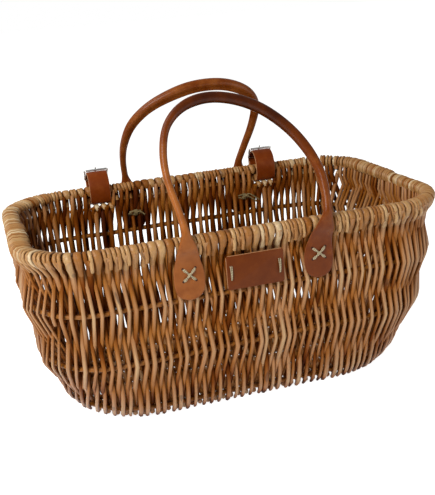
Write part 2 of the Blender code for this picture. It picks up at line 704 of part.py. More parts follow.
def make_keeper(name, centre_x, material):
    slope = math.radians(KEEPER_SLOPE)
    along = Vector((math.sin(slope), math.cos(slope)))
    out = Vector((along[1], -along[0]))
    inner_x = STRAP_WIDTH / 2 + TOUCH_GAP
    inner_out = LAYER_STEP[0] / 2 + HALF_BAND + 2 * TOUCH_GAP
    bm = bmesh.new()
    rings = []
    for grow, level in ((0, -1), (1, -1), (1, 1), (0, 1)):
        reach_x = inner_x + grow * KEEPER_THICKNESS
        reach_out = inner_out + grow * KEEPER_THICKNESS
        ring = []
        for x, depth in ((-1, -1), (1, -1), (1, 1), (-1, 1)):
            spot = KEEPER_CENTRE + along * (level * KEEPER_HEIGHT / 2) + out * (depth * reach_out)
            ring.append(bm.verts.new(strap_point(centre_x + x * reach_x, spot)))
        rings.append(ring)
    for step in range(4):
        bridge(bm, rings[step], rings[(step + 1) % 4])
    finish(name, bm, material, False)


def make_slot_rod(name, centre_x, material):
    radius = SLOT_ROD_DIAMETER / 2
    half = STRAP_WIDTH / 2
    y = RIM_HALF_WIDTH - WALL_THICKNESS / 2
    z = RIM_CENTRE - SLOT_DEPTH + TOUCH_GAP + radius
    tube(name, [(centre_x - half, y, z), (centre_x + half, y, z)], radius, 8, material)


def build():
    clear_scene()
    rods = make_material("willow_rods", (0.47, 0.28, 0.15), 0.62)
    wrap = make_material("willow_wrap", (0.60, 0.39, 0.20), 0.60)
    ribs = make_material("split_ribs", (0.52, 0.33, 0.17), 0.65)
    base = make_material("woven_base", (0.50, 0.32, 0.18), 0.65)
    leather = make_material("saddle_leather", (0.28, 0.10, 0.045), 0.50)
    cord = make_material("waxed_cord", (0.45, 0.36, 0.22), 0.75)
    metal = make_material("bright_buckle", (0.80, 0.80, 0.82), 0.18, 1.0)

    wall = make_wall(rods)
    cut_slots(wall, rods)
    make_rim(wrap, ribs)
    make_ribs(ribs)
    make_floor(base, ribs)

    make_handle("front_handle", -1, FRONT_CURVE, FRONT_LEFT_LEG, FRONT_RIGHT_LEG, FRONT_ARCH, leather)
    make_handle("rear_handle", 1, REAR_CURVE, REAR_LEFT_LEG, REAR_RIGHT_LEG, REAR_ARCH, leather)
    tabs = [("front_left", -1, FRONT_LEFT_LEG, FRONT_LEFT_END)]
    tabs.append(("front_right", -1, FRONT_RIGHT_LEG, FRONT_RIGHT_END))
    tabs.append(("rear_left", 1, REAR_LEFT_LEG, REAR_LEFT_END))
    tabs.append(("rear_right", 1, REAR_RIGHT_LEG, REAR_RIGHT_END))
    for name, side, top_x, end_x in tabs:
        surface = make_tab(name + "_tab", side, top_x, end_x, leather)
        make_cross(name + "_stitch", side, end_x, surface, cord)
        make_knot(name + "_knot", side, end_x, cord)
    make_tag(leather, cord)

    for name, centre_x in STRAP_PLACES:
        make_strap(name + "_strap", centre_x, leather, metal)
        make_buckle(name, centre_x, metal)
        make_keeper(name + "_keeper", centre_x, leather)
        make_slot_rod(name + "_slot_rod", centre_x, ribs)


build()
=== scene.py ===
import random
from math import asin, cos, pi, radians, sin, sqrt

import bmesh
import bpy
import numpy as np
from mathutils import Matrix, Vector


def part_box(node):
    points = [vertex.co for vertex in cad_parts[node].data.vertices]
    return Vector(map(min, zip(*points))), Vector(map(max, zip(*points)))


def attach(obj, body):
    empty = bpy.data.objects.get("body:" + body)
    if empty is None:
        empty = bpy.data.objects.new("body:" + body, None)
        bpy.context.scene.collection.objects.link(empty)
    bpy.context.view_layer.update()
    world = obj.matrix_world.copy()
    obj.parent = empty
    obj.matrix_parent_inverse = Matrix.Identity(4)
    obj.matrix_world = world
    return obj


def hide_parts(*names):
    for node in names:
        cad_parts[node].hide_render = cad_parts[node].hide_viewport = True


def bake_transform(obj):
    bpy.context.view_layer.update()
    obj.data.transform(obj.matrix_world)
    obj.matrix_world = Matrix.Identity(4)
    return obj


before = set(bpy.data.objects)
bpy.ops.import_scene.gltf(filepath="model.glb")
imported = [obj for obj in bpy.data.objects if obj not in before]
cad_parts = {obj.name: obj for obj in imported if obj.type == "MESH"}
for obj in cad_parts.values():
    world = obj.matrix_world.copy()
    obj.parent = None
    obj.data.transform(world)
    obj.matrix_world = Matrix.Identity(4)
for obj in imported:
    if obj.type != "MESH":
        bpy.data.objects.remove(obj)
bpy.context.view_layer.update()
random.seed(11)  # one seed, so each run weaves the same basket
print("frame loaded:", len(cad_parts), "nodes")


# Camera, lights and floor. Each lamp has its place, power and size

camera = {"place": (-0.2193, -0.8050, 0.3748), "right": (0.9543, -0.2881, -0.0798),
          "up": (0.1564, 0.2535, 0.9546), "lens": 60.07, "sensor": 36.0}
studio = {"lamps": {"keyLamp": ((-0.80, -0.85, 0.95), 13.0, 0.45), "fillLamp": ((1.2, -1.1, 0.45), 4.6, 0.8),
                    "topLamp": ((-0.9, 0.1, 1.3), 8.0, 0.8)},
          "lampAim": (0, 0, 0.1), "worldColour": "f4f6f8", "worldStrength": 0.10, "worldMirrored": 0.35,
          "floorSize": 40.0, "floorHeight": -0.0006, "floorColour": "f3f3f1", "floorGlow": 0.95}


def linearColour(code):  # sRGB hex to the linear values that Blender wants
    values = [int(code[step:step + 2], 16) / 255 for step in (0, 2, 4)]
    return (*[v / 12.92 if v <= 0.04045 else ((v + 0.055) / 1.055) ** 2.4 for v in values], 1.0)


def addNode(owner, kind, inputs=None, settings=None):  # a node given as an input stands for its first output
    tree = owner.node_tree
    node = tree.nodes.new("ShaderNode" + kind)
    for name, value in (settings or {}).items():
        setattr(node, name, value)
    for name, value in (inputs or {}).items():
        if isinstance(value, bpy.types.Node):
            value = value.outputs[0]
        if isinstance(value, bpy.types.NodeSocket):
            tree.links.new(value, node.inputs[name])
        else:
            node.inputs[name].default_value = value
    return node


def addMath(owner, operation, *values):
    return addNode(owner, "Math", dict(enumerate(values)), {"operation": operation})


def newMaterial(name):
    material = bpy.data.materials.new(name)
    material.use_nodes = True
    material.node_tree.nodes.clear()
    return material


def setUpCamera():
    right, up = Vector(camera["right"]), Vector(camera["up"])
    turn = Matrix((right, up, right.cross(up))).transposed()
    bpy.ops.object.camera_add(location=camera["place"], rotation=turn.to_euler())
    made = bpy.context.object
    made.data.lens = camera["lens"]
    made.data.sensor_width = camera["sensor"]
    made.data.clip_start = 0.01
    bpy.context.scene.camera = made
    bpy.context.scene.view_settings.view_transform = "Standard"


def setUpLamps():
    for name, (place, power, size) in studio["lamps"].items():
        aim = (Vector(studio["lampAim"]) - Vector(place)).to_track_quat("-Z", "Y").to_euler()
        bpy.ops.object.light_add(type="AREA", location=place, rotation=aim)
        lamp = bpy.context.object
        lamp.name = name
        lamp.data.energy = power
        lamp.data.size = size


def setUpWorld():  # plain light, but white where the camera sees it
    world = bpy.data.worlds.new("studioWorld")
    world.use_nodes = True
    world.node_tree.nodes.clear()
    rays = addNode(world, "LightPath").outputs
    clear = addMath(world, "MAXIMUM", rays["Is Camera Ray"], rays["Is Transmission Ray"])
    mirrored = addMath(world, "MULTIPLY", rays["Is Glossy Ray"], studio["worldMirrored"])
    lit = addNode(world, "Background", {"Color": linearColour(studio["worldColour"]),
                                        "Strength": studio["worldStrength"]})
    white = addNode(world, "Background", {"Color": linearColour("ffffff"), "Strength": 1.0})
    seen = addMath(world, "MAXIMUM", clear, mirrored)
    both = addNode(world, "MixShader", {0: seen, 1: lit, 2: white})
    addNode(world, "OutputWorld", {"Surface": both})
    bpy.context.scene.world = world


def setUpFloor():
    paper = newMaterial("matt white paper")  # studio paper: flat, even and without gloss
    rays = addNode(paper, "LightPath").outputs
    seen = addMath(paper, "MAXIMUM", rays["Is Camera Ray"], rays["Is Glossy Ray"])
    glow = addMath(paper, "MULTIPLY", seen, studio["floorGlow"])
    matt = addNode(paper, "BsdfDiffuse", {"Color": linearColour(studio["floorColour"])})
    shine = addNode(paper, "Emission", {"Color": linearColour("ffffff"), "Strength": glow})
    both = addNode(paper, "AddShader", {0: matt, 1: shine})
    addNode(paper, "OutputMaterial", {"Surface": both})
    bpy.ops.mesh.primitive_plane_add(size=studio["floorSize"], location=(0, 0, studio["floorHeight"]))
    sheet = bpy.context.object
    sheet.name = "studioFloor"
    sheet.data.materials.append(paper)


setUpCamera()
setUpLamps()
setUpWorld()
setUpFloor()
print("camera, lamps and floor ready")


# Finishes. Each swept piece carries "grain", its own straightened place in metres, "tone", which sets its
# shade among its neighbours and on the rods also carries painted shade, and "edge", which runs from 0.2 in
# the middle of a band to 1 at its sides; the rods darken their sides by it as painted shade

def readValue(material, name):
    node = addNode(material, "Attribute", None, {"attribute_name": name})
    return node.outputs["Vector" if name == "grain" else "Fac"]


def addNoise(material, stretch, detail):
    spot = addNode(material, "Mapping", {0: readValue(material, "grain"), "Scale": stretch})
    return addNode(material, "TexNoise", {"Vector": spot, "Scale": 1.0, "Detail": detail})


def addRange(material, value, low, high, lowOut, highOut):
    return addNode(material, "MapRange", {0: value, 1: low, 2: high, 3: lowOut, 4: highOut})


def addRamp(material, value, stops):  # colours or greys, each with its place
    node = addNode(material, "ValToRGB", {0: value})
    elements = node.color_ramp.elements
    while len(elements) < len(stops):
        elements.new(0.5)
    for element, (place, colour) in zip(elements, stops):
        element.position = place
        element.color = linearColour(colour) if isinstance(colour, str) else (colour, colour, colour, 1.0)
    return node


def addMix(material, share, first, second, blend="MIX"):
    settings = {"data_type": "RGBA", "blend_type": blend}
    return addNode(material, "Mix", {0: share, 6: first, 7: second}, settings).outputs[2]


def addBump(material, height, strength, distance):
    return addNode(material, "Bump", {"Strength": strength, "Distance": distance, "Height": height})


def clouded(material, cloud):  # a piece's tone, with the clouds of a noise
    shift = addMath(material, "MULTIPLY_ADD", cloud, 0.5, -0.25)
    return addMath(material, "ADD", readValue(material, "tone"), shift)


def finishMaterial(material, inputs):
    shader = addNode(material, "BsdfPrincipled", inputs)
    addNode(material, "OutputMaterial", {"Surface": shader})
    return material


def willow(name, stops, streakDark, shine):
    # Buff willow: boiled and peeled rods. Each rod has its own brown, fine streaks run along it, its sides
    # are darkened as painted shade between the rods, and a few scars mark where leaves grew. Low tone, which
    # also brings the rods' painted shade, lowers the gloss too
    material = newMaterial(name)
    shade = clouded(material, addNoise(material, (75, 75, 14), 2.0))
    streak = addNoise(material, (1300, 1300, 45), 3.0)
    lines = addRamp(material, streak, ((0.30, streakDark), (0.62, 1.0)))
    lined = addMix(material, 1.0, addRamp(material, shade, stops), lines, "MULTIPLY")
    scars = addRamp(material, addNoise(material, (190, 190, 60), 0.0), ((0.77, 0.0), (0.82, 0.6)))
    marked = addMix(material, scars, lined, linearColour("4a2c18"))
    # painted shade: darker towards each rod's sides, for the shade between the rods
    side = addRange(material, readValue(material, "edge"), 0.72, 1.0, 0.0, 0.75)
    return finishMaterial(material, {
        "Base Color": addMix(material, side, marked, linearColour("8a5a38"), "MULTIPLY"),
        "Roughness": addRange(material, streak, 0.0, 1.0, shine + 0.10, shine - 0.06),
        "Specular IOR Level": addRange(material, shade, 0.15, 0.75, 0.05, 0.6),
        "Normal": addBump(material, streak, 0.35, 0.0004)})


def leather(name, dark, middle, light, edgeColour, edgeStart, shine):
    # Vegetable-tanned saddle leather: waxed, mottled brown, with fine pores and a paler worn edge.
    # Low tone makes it darker: at the top of the front handle, on the tabs, and as painted shade in the
    # stitch holes. High tone on the front handle's left leg is a painted highlight
    material = newMaterial(name)
    grain = readValue(material, "grain")
    cloud = addNode(material, "TexNoise", {"Vector": grain, "Scale": 75.0, "Detail": 4.0, "Roughness": 0.6})
    pores = addNode(material, "TexVoronoi", {"Vector": grain, "Scale": 950.0})
    mottled = addRamp(material, clouded(material, cloud), ((0.08, dark), (0.5, middle), (0.92, light)))
    worn = addRange(material, readValue(material, "edge"), edgeStart, 1.0, 0.0, 1.0)
    height = addMath(material, "MULTIPLY_ADD", pores, 0.6, cloud)
    return finishMaterial(material, {
        "Base Color": addMix(material, worn, mottled, linearColour(edgeColour)),
        "Roughness": addRange(material, cloud, 0.0, 1.0, shine + 0.08, shine - 0.05),
        "Specular IOR Level": 0.17, "Normal": addBump(material, height, 0.22, 0.0004)})


def waxedCord(name, dark, light):
    # Waxed linen cord: dull, with the slanting lay of its twisted threads
    material = newMaterial(name)
    parts = addNode(material, "SeparateXYZ", {0: readValue(material, "grain")}).outputs
    turn = addMath(material, "ARCTAN2", parts[1], parts[0])
    lay = addMath(material, "MULTIPLY_ADD", parts[2], 3900.0, turn)  # one turn of the lay in 1.6 mm
    share = addRange(material, addMath(material, "SINE", lay), -1.0, 1.0, 0.0, 1.0)
    return finishMaterial(material, {
        "Base Color": addRamp(material, share, ((0.1, dark), (0.8, light))),
        "Roughness": 0.7, "Normal": addBump(material, share, 0.5, 0.0003)})


def nickelPlate(name):
    # Nickel-plated steel wire: bright, with faint rubbing marks along it
    material = newMaterial(name)
    marks = addNoise(material, (1500, 1500, 90), 3.0)
    return finishMaterial(material, {"Base Color": linearColour("d9d8d4"), "Metallic": 1.0,
                                     "Roughness": addRange(material, marks, 0.0, 1.0, 0.12, 0.30)})


rodStops = ((0.0, "4c1c00"), (0.20, "804004"), (0.42, "a8661c"), (0.62, "ba7f48"), (0.82, "c08c58"),
            (1.0, "d2aa78"))
# The bands over the rim are the same willow with its own browns, made paler: painted light from above on the
# rim
paintedLitWrapStops = ((0.0, "6e3408"), (0.30, "a2652a"), (0.60, "bd8a50"), (0.80, "cca066"), (1.0, "ecd2a6"))
finishes = {
    "rods": willow("buff willow, peeled", rodStops, 0.72, 0.46),
    "wraps": willow("buff willow, bent over the rim", paintedLitWrapStops, 0.78, 0.40),
    "leather": leather("saddle leather, rolled and waxed", "3c1400", "743406", "b26a30", "9a5a30",
                       0.97, 0.27),
    "tagLeather": leather("saddle leather, flat cut", "4a1a02", "6a2f06", "904a14", "c99468", 0.90, 0.42),
    "strapLeather": leather("saddle leather, strap", "541a00", "7c3406", "aa602a", "d2a074", 0.955, 0.38),
    "cord": waxedCord("waxed linen cord", "8f7f5f", "cbbd9b"),
    # the same cord darker: painted shade for the knots behind the tabs
    "paintedShadeKnotCord": waxedCord("waxed linen cord, in shade", "5f4e2c", "8f7a4d"),
    "nickel": nickelPlate("nickel-plated steel"),
}
print("finishes ready:", len(finishes))


# Tools for swept pieces: a straight bar is made once for each number of sides and rings,
# and every piece is a copy of it whose rings are moved along that piece's own route

bars = {}
seam = {"halfAngle": 13, "reach": 0.62}  # of the rolled handles


def selectOnly(*pieces):  # and make the first one active
    bpy.ops.object.select_all(action="DESELECT")
    for piece in pieces:
        piece.select_set(True)
    bpy.context.view_layer.objects.active = pieces[0]


def editEdges(piece, axis, length):  # those that run along one axis
    bpy.ops.object.transform_apply()
    bpy.ops.object.mode_set(mode="EDIT")
    bpy.context.tool_settings.mesh_select_mode = (False, True, False)
    bpy.ops.mesh.select_all(action="DESELECT")
    shape = bmesh.from_edit_mesh(piece.data)
    for line in shape.edges:
        line.select = abs(line.verts[0].co[axis] - line.verts[1].co[axis]) > length
    bmesh.update_edit_mesh(piece.data)


def straightBar(sides, rings):
    if (sides, rings) not in bars:
        bpy.ops.mesh.primitive_cylinder_add(vertices=sides, radius=1.0, depth=1.0, location=(0, 0, 0.5))
        bar = bpy.context.object
        editEdges(bar, 2, 0.5)
        bpy.ops.mesh.subdivide(number_cuts=rings - 2)
        bpy.ops.object.mode_set(mode="OBJECT")
        spots = np.array([vertex.co for vertex in bar.data.vertices])
        bars[(sides, rings)] = (bar.data, spots, np.rint(spots[:, 2] * (rings - 1)).astype(int))
        bpy.data.objects.remove(bar)
    return bars[(sides, rings)]


def unit(vectors):
    return vectors / np.maximum(np.linalg.norm(vectors, axis=-1, keepdims=True), 1e-12)


def writeValues(mesh, name, values):  # grain has three numbers for each point, the others have one
    kind, field = ("FLOAT_VECTOR", "vector") if name == "grain" else ("FLOAT", "value")
    layer = mesh.attributes.get(name) or mesh.attributes.new(name, kind, "POINT")
    layer.data.foreach_set(field, np.ravel(values).astype(np.float32))


def sweep(name, route, facing, width, thick, sides=6, tone=0.5, square=2.0, fin=None, backTone=None):
    # route has the middle of each ring, and facing the way that a band's broad side looks. A square of 2
    # makes the section round, and more makes it boxy. A fin has each ring's angle and reach
    route = np.array(route, float)
    count = len(route)
    mesh, spots, ring = straightBar(sides, count)
    mesh = mesh.copy()
    along = unit(np.gradient(route, axis=0))
    face = np.broadcast_to(np.array(facing, float), (count, 3))
    face = unit(face - along * np.sum(face * along, axis=1, keepdims=True))
    side = np.cross(face, along)
    width, thick, square, tone = (np.broadcast_to(np.array(values, float), (count,))[ring]
                                  for values in (width, thick, square, tone))
    turn = np.arctan2(spots[:, 1], spots[:, 0])
    x = np.sign(np.cos(turn)) * np.abs(np.cos(turn)) ** (2 / square)
    y = np.sign(np.sin(turn)) * np.abs(np.sin(turn)) ** (2 / square)
    across, out = x * width / 2, y * thick / 2
    if fin is not None:
        way, reach = fin
        apart = np.abs((turn - way + pi) % (2 * pi) - pi)
        swell = 1 + reach[ring] * (apart < radians(seam["halfAngle"]))
        across, out = across * swell, out * swell
    spot = route[ring] + side[ring] * across[:, None] + face[ring] * out[:, None]
    mesh.vertices.foreach_set("co", spot.ravel())
    run = np.concatenate(([0], np.cumsum(np.linalg.norm(np.diff(route, axis=0), axis=1))))
    offset = random.uniform(0, 9)  # so that no two pieces have the same streaks
    writeValues(mesh, "grain", np.stack((across, out, run[ring] + offset), axis=1))
    # the inner face can take its own tone; on the rods it is darker, painted shade on the basket's inside
    if backTone is not None:
        tone = tone * (1 + y) / 2 + np.array(backTone)[ring] * (1 - y) / 2
    writeValues(mesh, "tone", tone)
    writeValues(mesh, "edge", 0.2 + 0.8 * np.abs(x))
    mesh.update()
    piece = bpy.data.objects.new(name, mesh)
    bpy.context.scene.collection.objects.link(piece)
    return piece


def sweepRings(name, rings, sides, tone):  # each ring has its middle, facing, width, thickness and square
    route, facing, width, thick, square = zip(*rings)
    return sweep(name, route, facing, width, thick, sides, tone, square)


def curveThrough(points, steps):  # a smooth line through points, with steps between each two
    points = np.array(points, float)
    padded = np.vstack((2 * points[0] - points[1], points, 2 * points[-1] - points[-2]))
    made = []
    for place in range(len(points) - 1):
        before, start, end, after = padded[place:place + 4]
        for step in range(steps):
            t = step / steps
            made.append((2 * start + (end - before) * t + (2 * before - 5 * start + 4 * end - after) * t ** 2
                         + (3 * start - before - 3 * end + after) * t ** 3) / 2)
    made.append(points[-1])
    return np.array(made)


def joinPieces(name, pieces):
    selectOnly(*pieces)
    if len(pieces) > 1:
        bpy.ops.object.join()
    pieces[0].name = name
    return pieces[0]


def finishPiece(piece, finish, slotName, *nodes, body="basket", angle=72):
    piece.data.materials.clear()
    piece.data.materials.append(finishes[finish])
    selectOnly(piece)
    bpy.ops.object.shade_smooth_by_angle(angle=radians(angle))
    if nodes:
        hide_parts(*nodes)
    if body:
        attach(piece, body)


def clamp(value):
    return min(max(value, 0.0), 1.0)


def stray(most):
    return random.uniform(-most, most)


def anyTone(middle, spread, low=0.05):
    return min(max(random.gauss(middle, spread), low), 0.98)


def smooth(part):  # an even slope from 0 to 1, level at both ends
    return part * part * (3 - 2 * part)


def middleOf(node):
    low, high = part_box(node)
    return [(start + end) / 2 for start, end in zip(low, high)]


# The basket's wall, counted in levels from the rim down: 0 rim, 1 upper rib, 2 lower rib, 3 foot.
# Rods stand in pairs: one passes outside the rim and the lower rib, the other outside the upper rib and the
# foot. The quarters are 0 front right, 1 rear right, 2 rear left and 3 front left

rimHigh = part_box("rim_wrapping")[1]
rim = {"thick": 0.0128, "core": 0.0052, "corner": 0.0626}
rimRadius = rim["thick"] / 2
rimHeight = rimHigh[2] - rimRadius
rimHalf = (rimHigh[0] - rimRadius, rimHigh[1] - rimRadius)
wall = {"baseHalf": (0.169, 0.101), "baseCorner": 0.0828, "endPower": 2.6, "sidePower": 5.0,
        "endBulge": 0.003, "ribDepth": 0.0073, "ribTilt": (0.0035, 0.0030), "ribThick": 0.0052,
        "heights": (rimHeight, middleOf("upper_rib")[2], middleOf("lower_rib")[2], 0.0100),
        "swing": (0.0042, 0.0047, 0.0047, 0.0047), "endSwing": (0, 0.25, 0.2, 0.0)}
# Up to "upright" along the rim from the middle of a long side the pairs stand upright. Past it some end
# early, because the foot is shorter than the rim. "longPairs" of each quarter belong to its long side
weave = {"pairs": (43, 41, 37, 39), "longPairs": 24, "upright": 0.160, "usualPitch": 0.0076,
         "dropped": ((), (6,), (3, 6, 10), (1, 3, 5, 6, 8, 10, 12, 14, 17)),
         "rodThick": 0.0043, "sizes": (0.80, 1.20), "endSizes": (0.12, 0.12, -0.16, -0.16), "rearSize": 1.19,
         # "shade" is how strongly the rods are painted darker where they recede into the wall, on their
         # inner faces and at their feet: painted shade
         "topSwell": 0.26, "shade": 0.42, "tone": (0.55, 0.15, 0.1), "jitter": 0.0008,
         "bulge": (0.0004, 0.0005), "turnedFeet": ((0.0052, 0.0128), (0.0040, 0.0175)),
         "cutFeet": ((0.0034, 0.0024), (0.0006, 0.0030)),
         "levels": (0.0, 0.10, 0.28, 0.5, 0.9, 1.0, 1.1, 1.5, 1.9, 2.0, 2.1, 2.4, 2.65, 2.88, 3.0)}
# How far each rod of a pair leans to the right of it, seen from outside, at the levels of "stops"
lean = {"stops": (0.0, 0.5, 1.0, 1.5, 2.0, 2.4, 3.0),
        "frontOuter": (-0.0012, -0.0015, -0.0008, -0.0024, -0.0010, -0.0042, -0.0044),
        "frontInner": (0.0008, 0.0022, 0.0040, 0.0014, -0.0030, -0.0010, -0.0004),
        "rearOuter": (-0.0012, 0.0002, 0.0014, 0.0012, 0.0014, -0.0010, -0.0020),
        "rearInner": (0.0012, 0.0042, 0.0071, 0.0068, 0.0082, 0.0094, 0.0104),
        "endOuter": (-0.0070, 0.0000, 0.0070, 0.0000, -0.0070, -0.0095, -0.0110),
        "endInner": (0.0070, 0.0000, -0.0070, 0.0000, 0.0070, 0.0030, -0.0070)}
allPairs = [(quarter, place) for quarter, count in enumerate(weave["pairs"]) for place in range(count)]
hands = (1, -1, 1, -1)  # whether a quarter's run goes against the clock, seen from above
straps = {"left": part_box("left_strap"), "right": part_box("right_strap")}
slotRod = {"thick": 0.0034, "height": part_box("left_slot_rod")[1][2] - 0.0018, "inset": 0.0066,
           "left": (-0.135, -0.083), "right": (0.090, 0.160), "apart": 0.0036, "turns": (-30, 240),
           "slant": 0.001, "wrapThick": 0.0029, "wrapWidth": 0.0060,
           "widths": (0.66, 0.86, 1, 1, 1, 1, 0.86, 0.66)}


def wallSize(height):  # half length, half width and corner radius of the wall's outer face
    part = clamp(height / rimHeight)
    long = rimHalf[0] - (rimHalf[0] - wall["baseHalf"][0]) * (1 - part) ** wall["endPower"]
    long += wall["endBulge"] * min(1.0, part / 0.25, (1 - part) / 0.12)
    short = rimHalf[1] - (rimHalf[1] - wall["baseHalf"][1]) * (1 - part) ** wall["sidePower"]
    return long, short, wall["baseCorner"] + (rim["corner"] - wall["baseCorner"]) * part


def quarterLength(height):
    long, short, corner = wallSize(height)
    return long + short - 2 * corner + corner * pi / 2


def wallSpot(quarter, run, height, inset):  # run is measured from the middle of the long side
    long, short, corner = wallSize(height)
    straight = long - corner
    arc = corner * pi / 2
    if run <= straight:
        spot, normal = (run, short), (0.0, 1.0)
    elif run <= straight + arc:
        turn = (run - straight) / corner
        normal = (sin(turn), cos(turn))
        spot = (straight + corner * normal[0], short - corner + corner * normal[1])
    else:
        spot, normal = (long, short - corner - (run - straight - arc)), (1.0, 0.0)
    signX = 1 if quarter < 2 else -1
    signY = 1 if quarter in (1, 2) else -1
    place = ((spot[0] - normal[0] * inset) * signX, (spot[1] - normal[1] * inset) * signY, height)
    return place, (normal[0] * signX, normal[1] * signY, 0.0)


def tilted(spot, level):  # the ribs aren't quite level
    rise = np.interp(level, range(4), (0, wall["ribTilt"][0] * spot[1] / rimHalf[1],
                                       wall["ribTilt"][1] * spot[0] / rimHalf[0], 0))
    return spot[0], spot[1], spot[2] + rise


def moved(spot, normal, out):
    return spot[0] + normal[0] * out, spot[1] + normal[1] * out, spot[2]


def middleDepth(height):  # the rods' middle line runs under the rim, then along the ribs
    return wall["ribDepth"] * smooth(clamp((rimHeight - height) / 0.016))


def swingAt(level):  # how far a rod that starts outside the rim is outside the middle line
    low = min(int(level), 2)
    value = np.interp(level - low, (0.0, 0.09, 0.5, 0.91, 1.0), (1.0, 0.88, 0.0, -0.88, -1.0))
    return value * (-1) ** low * np.interp(level, range(4), wall["swing"])


def runUnder(rimRun, height):  # straight below a place on the long side of the rim
    corner = rim["corner"]
    straight = rimHalf[0] - corner
    x = rimRun if rimRun <= straight else straight + corner * sin((rimRun - straight) / corner)
    long, short, corner = wallSize(height)
    straight = long - corner
    return x if x <= straight else straight + corner * asin(min((x - straight) / corner, 1.0))


def pairRun(quarter, place, step):
    total = weave["pairs"][quarter]
    pitch = quarterLength(rimHeight) / total
    upright = int(weave["upright"] / pitch)
    height = wall["heights"][step]
    if place + 0.5 < upright:
        return runUnder(pitch * (place + 0.5), height), pitch
    start = runUnder(pitch * upright, height)
    gone = len([other for other in weave["dropped"][step] if other < place - upright])
    pitch = (quarterLength(height) - start) / (total - upright - len(weave["dropped"][step]))
    return start + pitch * (place - upright - gone + 0.5), pitch


def runAt(quarter, place, table, level, jitter=0.0):
    low = min(int(level), 2)
    above, pitchAbove = pairRun(quarter, place, low)
    below, pitchBelow = pairRun(quarter, place, low + 1)
    part = level - low
    scale = min((pitchAbove + (pitchBelow - pitchAbove) * part) / weave["usualPitch"], 1.15)
    offset = np.interp(level, lean["stops"], table) * scale + jitter
    return above + (below - above) * part + hands[quarter] * offset


def rimPlace(quarter, run, inset, height):  # on the rim's outline, but at another height
    spot, normal = wallSpot(quarter, run, rimHeight, inset)
    return (spot[0], spot[1], height), normal


def strapOver(spot):  # true where a strap passes through the wall
    return spot[1] > 0 and any(low[0] - 0.001 < spot[0] < high[0] + 0.001 for low, high in straps.values())


def endWall(quarter, place):  # 0 on the long sides, 1 on the end walls
    run = quarterLength(rimHeight) * (place + 0.5) / weave["pairs"][quarter]
    return clamp((run - weave["upright"]) / 0.045)


def leanTable(quarter, place, outer):  # on the end walls the two rods of a pair cross each other
    side = "Outer" if outer else "Inner"
    end = endWall(quarter, place)
    long = lean[("front" if quarter in (0, 3) else "rear") + side]
    wave = 0.15 * sin(0.42 * place + 2.1 * quarter)
    return [(1 - end) * (a + (a - long[0]) * wave) + end * b for a, b in zip(long, lean["end" + side])]


def rodSpot(quarter, place, outer, level, jitter=0.0):
    # Where a rod's middle line runs at one level. On the end walls the rods bulge more
    height = np.interp(level, range(4), wall["heights"])
    more = 1 + endWall(quarter, place) * np.interp(level, range(4), wall["endSwing"])
    swing = swingAt(level) * more * (1 if outer else -1)
    run = runAt(quarter, place, leanTable(quarter, place, outer), level, jitter)
    spot, normal = wallSpot(quarter, run, height, middleDepth(height) - swing)
    return tilted(spot, level), normal


rodTops = {}  # thickness and tone of each rod that comes out at the rim


def weaveRod(quarter, place, outer):
    sign = 1 if outer else -1
    end = endWall(quarter, place)
    jitters = [random.gauss(0, weave["jitter"]) for rib in range(4)]
    bulges = [random.gauss(0, weave["bulge"][0] + weave["bulge"][1] * end) for rib in range(4)]
    thick = weave["rodThick"] * random.uniform(*weave["sizes"]) * (1 + weave["endSizes"][quarter] * end)
    thick *= weave["rearSize"] if quarter in (1, 2) and place < weave["longPairs"] else 1.0
    taper = stray(0.08)
    tone = anyTone(*weave["tone"])
    swell = 1 + weave["topSwell"] * (1 - end)
    if outer:
        jitters[0] = 0.0
        rodTops[(quarter, place)] = (thick * (1 - taper) * swell, tone)
    upright = int(weave["upright"] * weave["pairs"][quarter] / quarterLength(rimHeight))
    ends = [step for step in (1, 2, 3) if place - upright in weave["dropped"][step]]
    last = 3 if not ends else ends[0] - 1 + (random.uniform(0.25, 0.55) if ends[0] == 3 else 0.15)
    stops = [level for level in weave["levels"] if level < last - 0.04] + [last]
    top = rodSpot(quarter, place, outer, 0.0)[0]
    underStrap = strapOver(top)
    if underStrap:
        start = (rimHeight - slotRod["height"]) / (rimHeight - wall["heights"][1])
        stops = [start] + [level for level in stops if level > start + 0.05]
    shade = weave["shade"]
    rings = []
    for level in stops:
        swing = swingAt(level) * sign / wall["swing"][1]
        spot, normal = rodSpot(quarter, place, outer, level, np.interp(level, range(4), jitters))
        spot = moved(spot, normal, np.interp(level, range(4), bulges) * min(level, 1.0))
        if underStrap and level == stops[0]:  # the two rods of a pair pass either side of the slot rod
            spot = (spot[0], rimHalf[1] - slotRod["inset"] + sign * slotRod["apart"], spot[2])
        # painted shade: the outer face darker where the rod recedes into the wall, the inner face darker
        # still, less so on the end walls
        rings.append((spot, normal, tone + shade * (swing - 0.3),
                      tone - shade * (swing * 0.6 + 0.9 - 0.7 * end)))
    if last == 3:  # the outer rod of a pair turns in under the basket, the other is cut off at the ground
        run = runAt(quarter, place, leanTable(quarter, place, outer), 3.0, jitters[3])
        for height, depth in weave["turnedFeet" if outer else "cutFeet"]:
            # the feet take the darkest tone: painted shade under the basket
            rings.append((*wallSpot(quarter, run, height, depth), tone - shade, tone - shade))
    route, facing, tones, backTones = zip(*rings)
    size = thick * (1 + taper * np.linspace(-1, 1, len(route)))
    if outer:
        size *= np.interp(stops + [3] * (len(route) - len(stops)), (0.25, 0.8), (swell, 1.0))
    size[-1] *= 0.85
    flat = 1 - 0.10 * random.random()
    return sweep("rod", route, facing, size, size * flat, 6, np.clip(tones, 0.02, 0.98),
                 backTone=np.clip(backTones, 0.02, 0.98))


